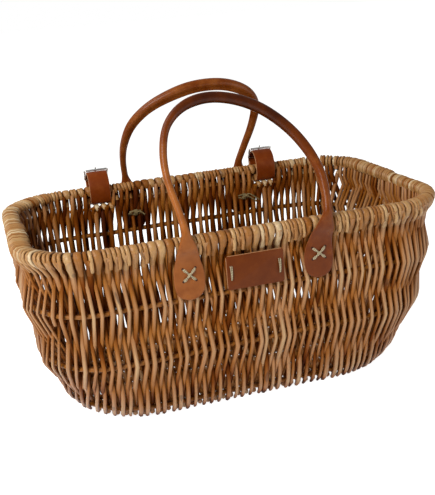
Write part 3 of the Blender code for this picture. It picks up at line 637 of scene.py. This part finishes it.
def weaveWall():
    groups = {"front": [], "right": [], "rear": [], "left": []}
    for quarter, place in allPairs:
        if place < weave["longPairs"]:
            group = "front" if quarter in (0, 3) else "rear"
        else:
            group = "right" if quarter < 2 else "left"
        groups[group] += [weaveRod(quarter, place, outer) for outer in (True, False)]
    for group, rods in groups.items():
        finishPiece(joinPieces(group + "_wall_rods", rods), "rods", "willow_rods", "woven_wall")
        print(group, "wall:", len(rods), "rods")


weaveWall()


# Rim: a round rod with the rods' ends bent over it. Between them, other ends are cut off just below it.
# "below" has the drop, inset and share of the width for each ring of such a stub

wrap = {"thick": 0.0036, "slant": 0.0022, "from": 222, "to": -28, "widths": (0.7, 0.9, 1, 1, 1, 1, 1, 0.97),
        "cutShare": 0.5, "cutWidth": 0.0036, "tone": (0.56, 0.16), "paintedLeftHighlight": 0.2,
        "endSlant": 0.0068, "rightSlant": 0.45, "rollFrom": 0.140, "rollSlope": 0.036,
        "endGrow": (0.4, 0.6, 1.15, 1.7), "endRise": (0.0, 0.4, 0.0, 0.0), "tuck": (0.0012, 0.0085),
        "intoRod": ((0.13, 0.45, 2.3), (0.20, 0.85, 2.0), (0.28, 1.0, 2.0)),
        "below": ((0.0062, -0.0052, 0.96), (0.0092, -0.0040, 0.92), (0.0118, -0.0024, 0.88))}
hoops = {"upper_rib": (1, 0.0024), "lower_rib": (2, 0.0024), "foot_rib": (3, 0.0010)}  # level and climb
lap = {"start": 1.32, "turns": 4.03}  # of the ribs' ends, counted in quarters


def bandOver(quarter, place, run, width, ending):
    # From the inside over the rim. Bands run on into a "rod" of the wall, are "cut" off below the rim, or
    # are "tucked" behind the others. On the basket's ends they make a thicker roll
    end = endWall(quarter, place)
    slant = wrap["slant"] * random.uniform(0.4, 1.6)
    slant += wrap["endSlant"] * end * (1 if quarter > 1 else wrap["rightSlant"])
    thick = wrap["thick"] * random.uniform(0.92, 1.08)
    rodThick, tone = rodTops[(quarter, place)]
    if ending != "rod":
        middle, spread = wrap["tone"]
        # painted highlight: on the left end the cut and tucked bands are paler, as the light falls there
        # from the left
        tone = anyTone(middle + wrap["paintedLeftHighlight"] * end * (quarter > 1), spread)
    share = smooth(clamp((run - wrap["rollFrom"]) / wrap["rollSlope"]))
    grow, rise = 1 + wrap["endGrow"][quarter] * share, 1 + wrap["endRise"][quarter] * share
    radius = rimRadius - thick / 2 + stray(0.0003)
    rings = []
    for step, wide in enumerate(wrap["widths"]):
        part = step / (len(wrap["widths"]) - 1)
        turn = radians(wrap["from"] + (wrap["to"] - wrap["from"]) * part)
        out, up = cos(turn), sin(turn)
        spot, normal = rimPlace(quarter, run - hands[quarter] * slant * (1 - part),
                                -radius * out * (grow if out < 0 else 1.0),
                                rimHeight + radius * up * (rise if up > 0 else 1.0))
        rings.append((spot, (normal[0] * out, normal[1] * out, up), width * wide, thick, 2.5 - 0.4 * share))
    if ending == "cut":
        strays = (0.0, stray(0.001), stray(0.0015))
        for (drop, inset, wide), down in zip(wrap["below"], strays):
            spot, normal = rimPlace(quarter, run, inset, rimHeight - drop - down)
            rings.append((spot, normal, width * wide, width * wide, 2.0))
    elif ending == "tucked":
        inset, drop = wrap["tuck"]
        rings.append((*rimPlace(quarter, run, inset, rimHeight - drop), width, thick, 2.0))
    else:
        for level, blend, square in wrap["intoRod"]:
            spot, normal = rodSpot(quarter, place, True, level)
            above, rod = 1 - blend, rodThick * 1.04 * blend
            rings.append((moved(spot, normal, 0.0016 * above), normal, width * above + rod,
                          thick * above + rod, square))
    return sweepRings("band", rings, 8, tone)


def hoop(name, level, inset, thick, rings, lift, tone):
    # One long rod round the wall, whose ends lap past each other behind
    route, facing = [], []
    height = wall["heights"][level]
    for step in range(rings):
        part = lap["turns"] * step / (rings - 1) + lap["start"]
        quarter = int(part) % 4
        share = part - int(part)
        run = quarterLength(height) * (share if hands[quarter] > 0 else 1 - share)
        spot, normal = wallSpot(quarter, run, height, inset + stray(0.0003))
        spot = tilted(spot, level)
        rise = lift * (step / (rings - 1) - 0.5) + stray(0.0005)
        route.append((spot[0], spot[1], spot[2] + rise))
        facing.append(normal)
    sizes = thick * np.linspace(1.06, 0.90, rings)
    return sweep(name, route, facing, sizes, sizes, 8, tone)


def makeRim():
    bands = []
    for quarter, place in allPairs:
        hand = hands[quarter]
        run, pitch = pairRun(quarter, place, 0)
        middle = run + hand * leanTable(quarter, place, True)[0]
        spot = wallSpot(quarter, middle, rimHeight, 0)[0]
        end = endWall(quarter, place) > 0.25
        if (end or random.random() < wrap["cutShare"]) and not strapOver(spot):
            low, high, whole = (0.42, 0.52, pitch) if end else (0.85, 1.25, wrap["cutWidth"])
            room = whole * random.uniform(low, high)
            rest = pitch - room
            bands.append(bandOver(quarter, place, middle - hand * room / 2, rest - 0.0002, "rod"))
            beside = middle + hand * rest / 2
            bands.append(bandOver(quarter, place, beside, room, "tucked" if end else "cut"))
        else:
            bands.append(bandOver(quarter, place, middle, pitch - 0.0003, "rod"))
    finishPiece(joinPieces("rim_bands", bands), "wraps", "willow_wrap", "rim_wrapping")
    core = hoop("rim_rod", 0, 0.0, rim["core"], 120, 0.0, 0.4)
    finishPiece(core, "rods", "split_ribs", "rim_core")
    for name, (level, lift) in hoops.items():
        rib = hoop(name + "_rod", level, wall["ribDepth"], wall["ribThick"], 110, lift, 0.42)
        finishPiece(rib, "rods", "split_ribs", name)
    print("rim:", len(bands), "bands,", len(hoops), "ribs")


makeRim()


# Short rods under the straps, with the wall's rods looped over them

def loopOver(quarter, run, tone):
    radius = (slotRod["thick"] + slotRod["wrapThick"]) / 2
    rings = []
    start, sweepAngle = slotRod["turns"]
    for step, wide in enumerate(slotRod["widths"]):
        part = step / (len(slotRod["widths"]) - 1)
        turn = radians(start + sweepAngle * part)
        out, up = cos(turn), sin(turn)
        spot, normal = rimPlace(quarter, run + hands[quarter] * slotRod["slant"] * (0.5 - part),
                                slotRod["inset"] - radius * out, slotRod["height"] + radius * up)
        rings.append((spot, (normal[0] * out, normal[1] * out, up), slotRod["wrapWidth"] * wide,
                      slotRod["wrapThick"], 2.4))
    return sweepRings("loop", rings, 8, tone)


def makeSlotRods():
    for side in straps:
        start, end = slotRod[side]
        spots = [(start + share * (end - start), rimHalf[1] - slotRod["inset"], slotRod["height"])
                 for share in (0, 0.25, 0.5, 0.75, 1)]
        rod = sweep(side + "_slot_rod_willow", spots, (0, 0, 1), slotRod["thick"], slotRod["thick"], 8, 0.45)
        finishPiece(rod, "rods", "split_ribs", side + "_slot_rod")
    loops = []
    for quarter, place in allPairs:
        run = runAt(quarter, place, lean["rearOuter"], 0.0)
        if strapOver(wallSpot(quarter, run, rimHeight, 0)[0]):
            loops.append(loopOver(quarter, run, random.uniform(0.55, 0.95)))
    finishPiece(joinPieces("slot_loops", loops), "wraps", "willow_rods")
    print("slot loops:", len(loops))


makeSlotRods()


# Floor: rods across the basket, over and under five long sticks

base = {"sticks": 5, "stickThick": 0.0054, "pitch": 0.0039, "thick": 0.0051, "over": 0.0040,
        "wallInset": 0.0065, "height": 0.008, "tone": (0.62, 0.18), "stray": 0.0004}


def makeFloor():
    names = ["floor_stick_%d" % (step + 1) for step in range(base["sticks"])]
    lines = [middleOf(name)[1] for name in names]
    level = middleOf(names[0])[2]
    for step, name in enumerate(names):
        low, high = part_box(name)
        spots = [(low[0] + (high[0] - low[0]) * share, lines[step] + stray(0.0006), level)
                 for share in np.linspace(0, 1, 14)]
        thick = base["stickThick"]
        stick = sweep(name + "_willow", spots, (0, 0, 1), thick, thick, 8, 0.35 + 0.08 * step)
        finishPiece(stick, "rods", "split_ribs", name)
    long, short, corner = wallSize(base["height"])
    half = long - base["wallInset"]
    count = int(2 * half / base["pitch"])
    rods = []
    for step in range(count):
        x = -half + (step + 0.5) * 2 * half / count
        past = max(abs(x) - (long - corner), 0.0)
        reach = short - corner + sqrt(max((corner - base["wallInset"]) ** 2 - past ** 2, 0.0))
        if reach < 0.012:
            continue
        sign = 1 if step % 2 == 0 else -1
        spots = [(x, -reach, level - sign * base["over"])]
        stops = [-reach] + [line for line in lines if abs(line) < reach - 0.006] + [reach]
        for here, after in zip(stops[:-1], stops[1:]):
            sign = -sign
            for y, height in (((here + after) / 2, level), (after, level - sign * base["over"])):
                spots.append((x + stray(base["stray"]), y, height))
        thick = base["thick"] * random.uniform(0.92, 1.10)
        rods.append(sweep("floorRod", spots, (0, 0, 1), thick, thick, 6, anyTone(*base["tone"])))
    finishPiece(joinPieces("floor_rods", rods), "rods", "woven_base", "woven_floor")
    print("floor:", len(rods), "rods")


makeFloor()


# Leather handles: one piece from tab to tab, rolled round between them. A curve is in percent of the way
# from the left neck to the right one, and of the rise. "girth" scales the thickness along it, at the
# places of "girthPlaces". "dark" is how much darker its top is made, and "paintedHighlight" how much paler
# its left leg is, a painted highlight of the lamp on the left

handle = {"lean": 25.0, "pivotRise": 0.011, "out": 0.0102, "leg": 0.0086, "top": 0.0100,
          "girthPlaces": (0, 0.12, 0.30, 0.42, 0.6, 0.8, 1),
          "tabWidth": 0.0292, "tabThick": 0.0026, "tabDrop": 0.0524, "sides": 20}
handles = {
    "front": {"sign": -1, "seam": -100, "tone": 0.58, "dark": 0.42, "paintedHighlight": 0.34,
              "girth": (0.86, 0.70, 0.72, 1.02, 1.05, 0.98, 0.97),
              "left": -0.0630, "leftEnd": -0.0617, "right": 0.0690, "rightEnd": 0.0614, "rise": 0.118,
              "curve": ((0, 0), (-1.9, 16.9), (-5.3, 39.8), (-4.9, 61.0), (0.8, 81.4), (13.6, 94.9),
                        (31.1, 100), (50.0, 96.6), (68.2, 86.4), (84.1, 69.5), (94.7, 50.8), (100.4, 32.2),
                        (101.1, 15.3), (100, 0))},
    "rear": {"sign": 1, "seam": -22, "tone": 0.58, "dark": 0.0, "paintedHighlight": 0.0,
             "girth": (0.86, 0.86, 0.98, 1.18, 1.16, 1.02, 0.98),
             "left": -0.0630, "leftEnd": -0.0590, "right": 0.0770, "rightEnd": 0.0740, "rise": 0.1105,
             "curve": ((0, 0), (-1.4, 20.9), (-0.4, 40.9), (5.7, 62.7), (18.6, 80.0), (35.7, 91.8),
                       (55.7, 99.5), (76.4, 100), (92.9, 94.1), (105.0, 83.6), (111.1, 67.3), (109.3, 44.5),
                       (104.6, 21.8), (100, 0))},
}
# A tab's shares of its height and width, then its neck: height over the rim's middle, half width, depth in
# front of the tab's back or the rim's face, thickness and square
tabPlan = ((0.0, 0.18), (0.03, 0.46), (0.09, 0.70), (0.18, 0.87), (0.36, 1.0), (0.62, 1.0),
           (0.80, 0.93), (0.93, 0.82))
neckPlan = ((-0.0085, 0.0104, "back", 0.0044, 0.0031, 3.0), (-0.0045, 0.0091, "face", 0.0018, 0.0036, 2.8),
            (0.0010, 0.0074, "face", 0.0024, 0.0048, 2.5), (0.0060, 0.0056, "face", 0.0031, 0.0064, 2.2))


def tabSide(sign, topX, endX):  # rings of one tab from its round end up to the neck
    endHeight = rimHeight - handle["tabDrop"]
    shoulder = rimHeight - 0.016
    depths = {"back": wallSize(endHeight + 0.022)[1] - rimHalf[1] + 0.0004, "face": rimRadius + 0.0004}
    rings = [(endHeight + (shoulder - endHeight) * share, width * handle["tabWidth"] / 2,
              depths["back"] + handle["tabThick"] / 2, handle["tabThick"], 3.2) for share, width in tabPlan]
    rings += [(rimHeight + up, half, depths[place] + depth, thick, square)
              for up, half, place, depth, thick, square in neckPlan]
    top = rimHeight + handle["pivotRise"]
    made = []
    for height, half, depth, thick, square in rings:
        part = (top - height) / (top - endHeight)
        x = topX + (endX - topX) * min(1.0, part * 1.6)
        made.append(((x, sign * (rimHalf[1] + depth), height), half * 2, thick, square, 0.0))
    return made


def makeHandle(which):
    plan = handles[which]
    sign = plan["sign"]
    slope = radians(handle["lean"])
    pivotY, pivotHeight = rimHalf[1] + handle["out"], rimHeight + handle["pivotRise"]
    keys = []
    for across, up in plan["curve"]:
        rise = plan["rise"] * up / 100
        keys.append((plan["left"] + (plan["right"] - plan["left"]) * across / 100,
                     sign * (pivotY - rise * sin(slope)), pivotHeight + rise * cos(slope)))
    loop = curveThrough(keys, 4)
    rings = tabSide(sign, plan["left"], plan["leftEnd"])
    for step, spot in enumerate(loop):
        near = min(step, len(loop) - 1 - step) / (len(loop) / 2)
        swell = clamp((near - 0.12) / 0.35)
        size = handle["leg"] + (handle["top"] - handle["leg"]) * swell
        size *= np.interp(step / (len(loop) - 1), handle["girthPlaces"], plan["girth"])
        rings.append((tuple(spot), size, size * (0.86 + 0.14 * min(1.0, near * 8)), 2.0, swell))
    rings += reversed(tabSide(sign, plan["right"], plan["rightEnd"]))
    route, width, thick, square, swell = zip(*rings)
    route = np.array(route)
    high = np.clip((route[:, 2] - rimHeight - 0.02) / 0.075, 0, 1)
    low = np.clip((rimHeight + 0.03 - route[:, 2]) / 0.05, 0, 1)
    # painted highlight: the left leg made paler, where the lamp on the left catches it
    left = np.clip((plan["left"] + 0.03 - route[:, 0]) / 0.04, 0, 1)
    tone = plan["tone"] - plan["dark"] * high ** 2 - 0.1 * low + plan["paintedHighlight"] * left
    # Both sewn seams look towards the basket's middle, so only the rear one shows its side
    fin = (radians(plan["seam"]), seam["reach"] * np.array(swell))
    piece = sweep(which + "_handle_leather", route, (0, sign, 0), width, thick, handle["sides"],
                  np.maximum(tone, 0.02), square, fin)
    selectOnly(piece)
    rounded = piece.modifiers.new("soft leather", "SUBSURF")
    rounded.levels = rounded.render_levels = 1
    bpy.ops.object.modifier_apply(modifier=rounded.name)
    finishPiece(piece, "leather", "saddle_leather", which + "_handle", which + "_left_tab",
                which + "_right_tab", body=None, angle=60)
    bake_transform(piece)
    print(which, "handle done")


for which in handles:
    makeHandle(which)


# Waxed cord: a cross on each tab, a knot behind it, and two stitches on the tag

cordage = {"strand": 0.0014, "across": 0.0122, "twist": 0.00062, "lean": 50, "hole": 0.0023,
           "rises": (0.0015, 0.0007), "spread": (1.45, 1.22), "holeSpread": (1.50, 1.26), "sink": 0.0018,
           "knot": 0.0017, "knotHalf": 0.0011, "turns": (-0.0012, 0.0, 0.0012), "turnHalf": (0.0020, 0.0030),
           "tail": 0.0018, "tagStrand": 0.0010}
knotTails = {
    "front_left": (((0.004, 0.004, -0.003), (0.007, 0.004, -0.009)),
                   ((-0.005, 0.004, -0.002), (-0.008, 0.005, -0.007))),
    "front_right": (((0.005, 0.004, -0.002), (0.009, 0.005, -0.006)),
                    ((-0.004, 0.004, -0.004), (-0.006, 0.004, -0.010))),
    "rear_left": (((0.005, 0.004, 0.001), (0.010, 0.005, -0.003)),
                  ((-0.004, 0.004, 0.002), (-0.009, 0.005, 0.000))),
    "rear_right": (((0.005, 0.005, 0.003), (0.011, 0.006, 0.000), (0.017, 0.007, -0.005)),
                   ((0.003, 0.005, 0.001), (0.009, 0.006, -0.003), (0.014, 0.007, -0.007))),
}


def cordRun(spots, facing, thick, steps=3):
    return sweep("cord", curveThrough(spots, steps), facing, thick, thick, 7)


def makeCross(name):
    low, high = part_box(name + "_stitch")
    sign = 1 if low[1] > 0 else -1
    x, _, z = middleOf(name + "_stitch")
    inner = min(abs(low[1]), abs(high[1])) - 0.0004
    half = cordage["across"] / 2
    (wide, tall), (holeWide, holeTall) = cordage["spread"], cordage["holeSpread"]
    pieces, holeShades = [], []
    for side, rise in zip((1, -1), cordage["rises"]):
        turn = radians(cordage["lean"] * side) + stray(0.08)
        dx, dz = cos(turn), sin(turn)
        for strand in (-1, 1):
            spots = []
            for step in range(11):
                part = (step - 5) / 4.7
                lift = rise * (1 - part ** 4) - cordage["sink"] * (abs(part) > 1)
                offset = strand * cordage["twist"] * cos(4.6 * part)
                out = inner + lift + strand * cordage["twist"] * sin(4.6 * part) * 0.7
                spots.append((x + dx * part * half * wide - dz * offset, sign * out,
                              z + dz * part * half * tall + dx * offset))
            pieces.append(cordRun(spots, (0, sign, 0), cordage["strand"], 2))
        # a dark disc of leather at each end of the cross: painted shade in the stitch hole
        for end in (-1, 1):
            spot = np.array((x + dx * end * half * holeWide, sign * inner, z + dz * end * half * holeTall))
            ends = (spot - (0, sign * 0.001, 0), spot + (0, sign * 0.0003, 0))
            holeShades.append(sweep("hole", ends, (1, 0, 0), cordage["hole"], cordage["hole"], 10, 0.0))
    finishPiece(joinPieces(name + "_cross", pieces), "cord", "waxed_cord", name + "_stitch")
    finishPiece(joinPieces(name + "_holes", holeShades), "leather", "saddle_leather")


def makeKnot(name, tails):
    low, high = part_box(name + "_knot")
    sign = 1 if low[1] > 0 else -1
    x, _, z = middleOf(name + "_knot")
    depth = sign * (max(abs(low[1]), abs(high[1])) - 0.0008)
    pieces = []
    for lift in (-cordage["knotHalf"], cordage["knotHalf"]):
        spots = [(low[0] + (high[0] - low[0]) * part, depth - sign * sin(part * pi) * 0.0012,
                  z + lift * (1 + sin(part * pi))) for part in (0, 0.2, 0.4, 0.6, 0.8, 1)]
        pieces.append(cordRun(spots, (0, sign, 0), cordage["knot"]))
    deep, tall = cordage["turnHalf"]
    for shift in cordage["turns"]:
        spots = []
        for step in range(9):
            turn = 2 * pi * step / 8
            spots.append((x + shift + 0.0004 * sin(turn),
                          depth - sign * (0.0018 + deep * cos(turn)), z + tall * sin(turn)))
        pieces.append(cordRun(spots, (1, 0, 0), cordage["knot"], 2))
    for tail in tails:
        spots = [(x + dx, depth - sign * dy, z + dz) for dx, dy, dz in ((0, 0.003, 0), *tail)]
        pieces.append(cordRun(spots, (0, sign, 0), cordage["tail"], 4))
    finishPiece(joinPieces(name + "_knot_cord", pieces), "paintedShadeKnotCord", "waxed_cord", name + "_knot")


for name, tails in knotTails.items():
    makeCross(name)
    makeKnot(name, tails)
print("crosses and knots done")


# Leather tag, cut flat with round corners, and its two stitches. "lift" has places along a stitch, counted
# from its middle, and how far it stands out there

tag = {"corner": 0.0022, "edge": 0.0005, "stitch": 0.0125,
       "lift": ((-1.05, -0.0014), (-0.96, 0.0), (-0.4, 0.0007), (0.4, 0.0007), (0.96, 0.0), (1.05, -0.0014))}


def makeTag():
    low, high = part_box("leather_tag")
    size = Vector(high) - Vector(low)
    bpy.ops.mesh.primitive_cube_add(size=1.0, location=middleOf("leather_tag"))
    piece = bpy.context.object
    piece.name = "tag_leather"
    piece.scale = size
    editEdges(piece, 1, size[1] / 2)
    bpy.ops.mesh.bevel(offset=tag["corner"], segments=4)
    bpy.ops.object.mode_set(mode="OBJECT")
    soft = piece.modifiers.new("cut edge", "BEVEL")
    soft.width = tag["edge"]
    soft.segments = 2
    soft.limit_method = "ANGLE"
    soft.angle_limit = radians(60)
    bpy.ops.object.modifier_apply(modifier=soft.name)
    spots = np.array([vertex.co for vertex in piece.data.vertices])
    inside = np.array(size) / 2 - np.abs(spots - middleOf("leather_tag"))
    reach = np.minimum(inside[:, 0], inside[:, 2])
    writeValues(piece.data, "grain", spots)
    writeValues(piece.data, "tone", np.full(len(spots), 0.5))
    writeValues(piece.data, "edge", (reach < tag["edge"] * 0.6).astype(float))
    finishPiece(piece, "tagLeather", "saddle_leather", "leather_tag", angle=40)


def makeTagStitch(name):
    x, _, z = middleOf(name)
    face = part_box(name)[1][1]
    pieces = []
    for strand in (-1, 1):
        spots = [(x + strand * (0.0005 + part * 0.0003), face - lift - 0.0003, z + part * tag["stitch"] / 2)
                 for part, lift in tag["lift"]]
        pieces.append(cordRun(spots, (0, -1, 0), cordage["tagStrand"]))
    finishPiece(joinPieces(name + "_cord", pieces), "cord", "waxed_cord", name)


makeTag()
makeTagStitch("tag_stitch_left")
makeTagStitch("tag_stitch_right")
print("tag done")


# Straps round the rear rim, each with its buckle and keeper. A spot is an angle about the rim's
# middle line, seen from the right, and a distance counted in the rim's radius

strap = {"width": 0.0236, "thick": 0.0022, "layerGap": 0.0010, "gap": 0.0003, "tail": 0.0075,
         "tipWidths": (0.97, 0.88, 0.72, 0.45), "wire": 0.0024, "wireBend": 0.0020, "prong": 0.0018,
         "tipSizes": (0.95, 0.82, 0.5), "barrel": 0.0010, "keeperHeight": 0.0065, "keeperThick": 0.0013,
         "keeperBend": 0.0009}


def rimSpot(angle, radii):
    turn = radians(angle)
    return np.array((cos(turn), sin(turn))) * rimRadius * radii


topBar, pivotBar = rimSpot(77.0, 3.75), rimSpot(36.5, 3.0)
frameRise = unit(topBar - pivotBar)
frameOut = np.array((frameRise[1], -frameRise[0]))
layerStep = np.array((strap["thick"] + strap["layerGap"], 0.0))
barStep = strap["wire"] / 2 + strap["gap"] + strap["thick"] / 2
underLayer = [rimSpot(24.7, 2.61), rimSpot(3.9, 2.30), rimSpot(-21.3, 2.36)]
loopSpots = [rimSpot(*spot) for spot in ((-46.8, 2.41), (-72.0, 2.27), (-102.3, 2.20), (-127.5, 2.13),
                                         (-164.3, 1.73), (147.7, 1.91), (113.7, 2.56), (91.7, 3.11))]
overBars = [topBar - (0, barStep), (topBar + pivotBar) / 2 + frameOut * 0.0005,
            pivotBar + frameOut * barStep]
strapLine = underLayer + loopSpots + overBars + [spot + layerStep for spot in underLayer]
strapLine += [strapLine[-1] - np.array((0.12, 0.99)) * strap["tail"] * share for share in (0.67, 1.0)]
# The bars are set from the solids' own box, so that the buckles turn about their joints' axes
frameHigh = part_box("left_buckle_frame")[1]
strapHome = (frameHigh[1] - pivotBar[0] - strap["wire"] / 2, frameHigh[2] - topBar[1] - strap["wire"] / 2)


def strapPlace(x, spot):
    return x, strapHome[0] + spot[0], strapHome[1] + spot[1]


def roundedLoop(halfX, halfUp, bend, first):  # a closed oblong with round corners, and each spot's direction
    corners = ((1, -1, 270), (1, 1, 0), (-1, 1, 90), (-1, -1, 180))
    made = []
    for signX, signUp, start in corners[first:] + corners[:first]:
        for step in range(4):
            turn = radians(start + 30 * step)
            out, up = cos(turn), sin(turn)
            made.append((signX * (halfX - bend) + bend * out, signUp * (halfUp - bend) + bend * up, out, up))
    return made + made[:2]


def makeStrap(side, x):
    line = curveThrough(strapLine, 4)
    ahead = np.gradient(line, axis=0)
    width = np.full(len(line), strap["width"])
    width[-4:] *= strap["tipWidths"]
    band = sweep(side + "_strap_leather", [strapPlace(x, spot) for spot in line],
                 [(0, way[1], -way[0]) for way in ahead], width, strap["thick"], 16, 0.5, 5.0)
    finishPiece(band, "strapLeather", "saddle_leather", side + "_strap", body=side + "_strap", angle=50)


def makeBuckle(side, x):
    normal = (0, frameOut[0], frameOut[1])
    half = strap["width"] / 2 + strap["gap"] + strap["wire"] / 2
    middle = (topBar + pivotBar) / 2
    loop = [strapPlace(x + px, middle + frameRise * up) for px, up, out, rise in
            roundedLoop(half, np.linalg.norm(topBar - pivotBar) / 2, strap["wireBend"], 0)]
    wire = sweep(side + "_buckle_wire", loop, normal, strap["wire"], strap["wire"], 12)
    name = side + "_buckle_frame"
    finishPiece(wire, "nickel", "bright_buckle", name, body=name, angle=60)

    radius = strap["prong"] / 2
    inner = strap["wire"] / 2 + 0.0001
    turns = [2 * pi * step / 12 for step in range(13)]
    reach = inner + strap["barrel"] / 2
    ring = [strapPlace(x, pivotBar + np.array((cos(turn), sin(turn))) * reach) for turn in turns]
    barrel = sweep("barrel", ring, (1, 0, 0), strap["barrel"], strap["prong"] * 1.5, 8, 0.5, 3.0)
    rest = strap["wire"] / 2 + strap["gap"] + radius
    spots = [pivotBar + frameOut * (inner + radius * 1.1),
             pivotBar + frameOut * radius * 3.3 + frameRise * radius * 4.4,
             topBar + frameOut * rest - frameRise * radius * 3.3, topBar + frameOut * rest,
             topBar + frameOut * (rest - radius * 0.2) + frameRise * radius * 2.9]
    line = curveThrough([strapPlace(x, spot) for spot in spots], 3)
    size = np.full(len(line), strap["prong"])
    size[-3:] *= strap["tipSizes"]
    shank = sweep("shank", line, normal, size, size, 10)
    name = side + "_buckle_prong"
    finishPiece(joinPieces(side + "_prong_wire", [barrel, shank]), "nickel", "bright_buckle", name,
                body=name, angle=60)


def makeKeeper(side, x):
    middle = (underLayer[1] * 0.7 + underLayer[2] * 0.3) + layerStep / 2
    rising = unit(underLayer[1] - underLayer[2])
    outward = np.array((rising[1], -rising[0]))
    name, thick = side + "_keeper", strap["keeperThick"]
    reachX = strap["width"] / 2 + strap["gap"] + thick / 2
    reachOut = (layerStep[0] + strap["thick"] + thick) / 2 + 2 * strap["gap"]
    ring = roundedLoop(reachX, reachOut, strap["keeperBend"], 1)
    loop = [strapPlace(x + px, middle + outward * po) for px, po, out, up in ring]
    facing = [(out, outward[0] * up, outward[1] * up) for px, po, out, up in ring]
    keeper = sweep(name + "_leather", loop, facing, strap["keeperHeight"], thick, 12, 0.5, 4.0)
    finishPiece(keeper, "strapLeather", "saddle_leather", name, body=name, angle=50)


for side in straps:
    x = middleOf(side + "_strap")[0]
    makeStrap(side, x)
    makeBuckle(side, x)
    makeKeeper(side, x)
    print(side, "strap and buckle done")
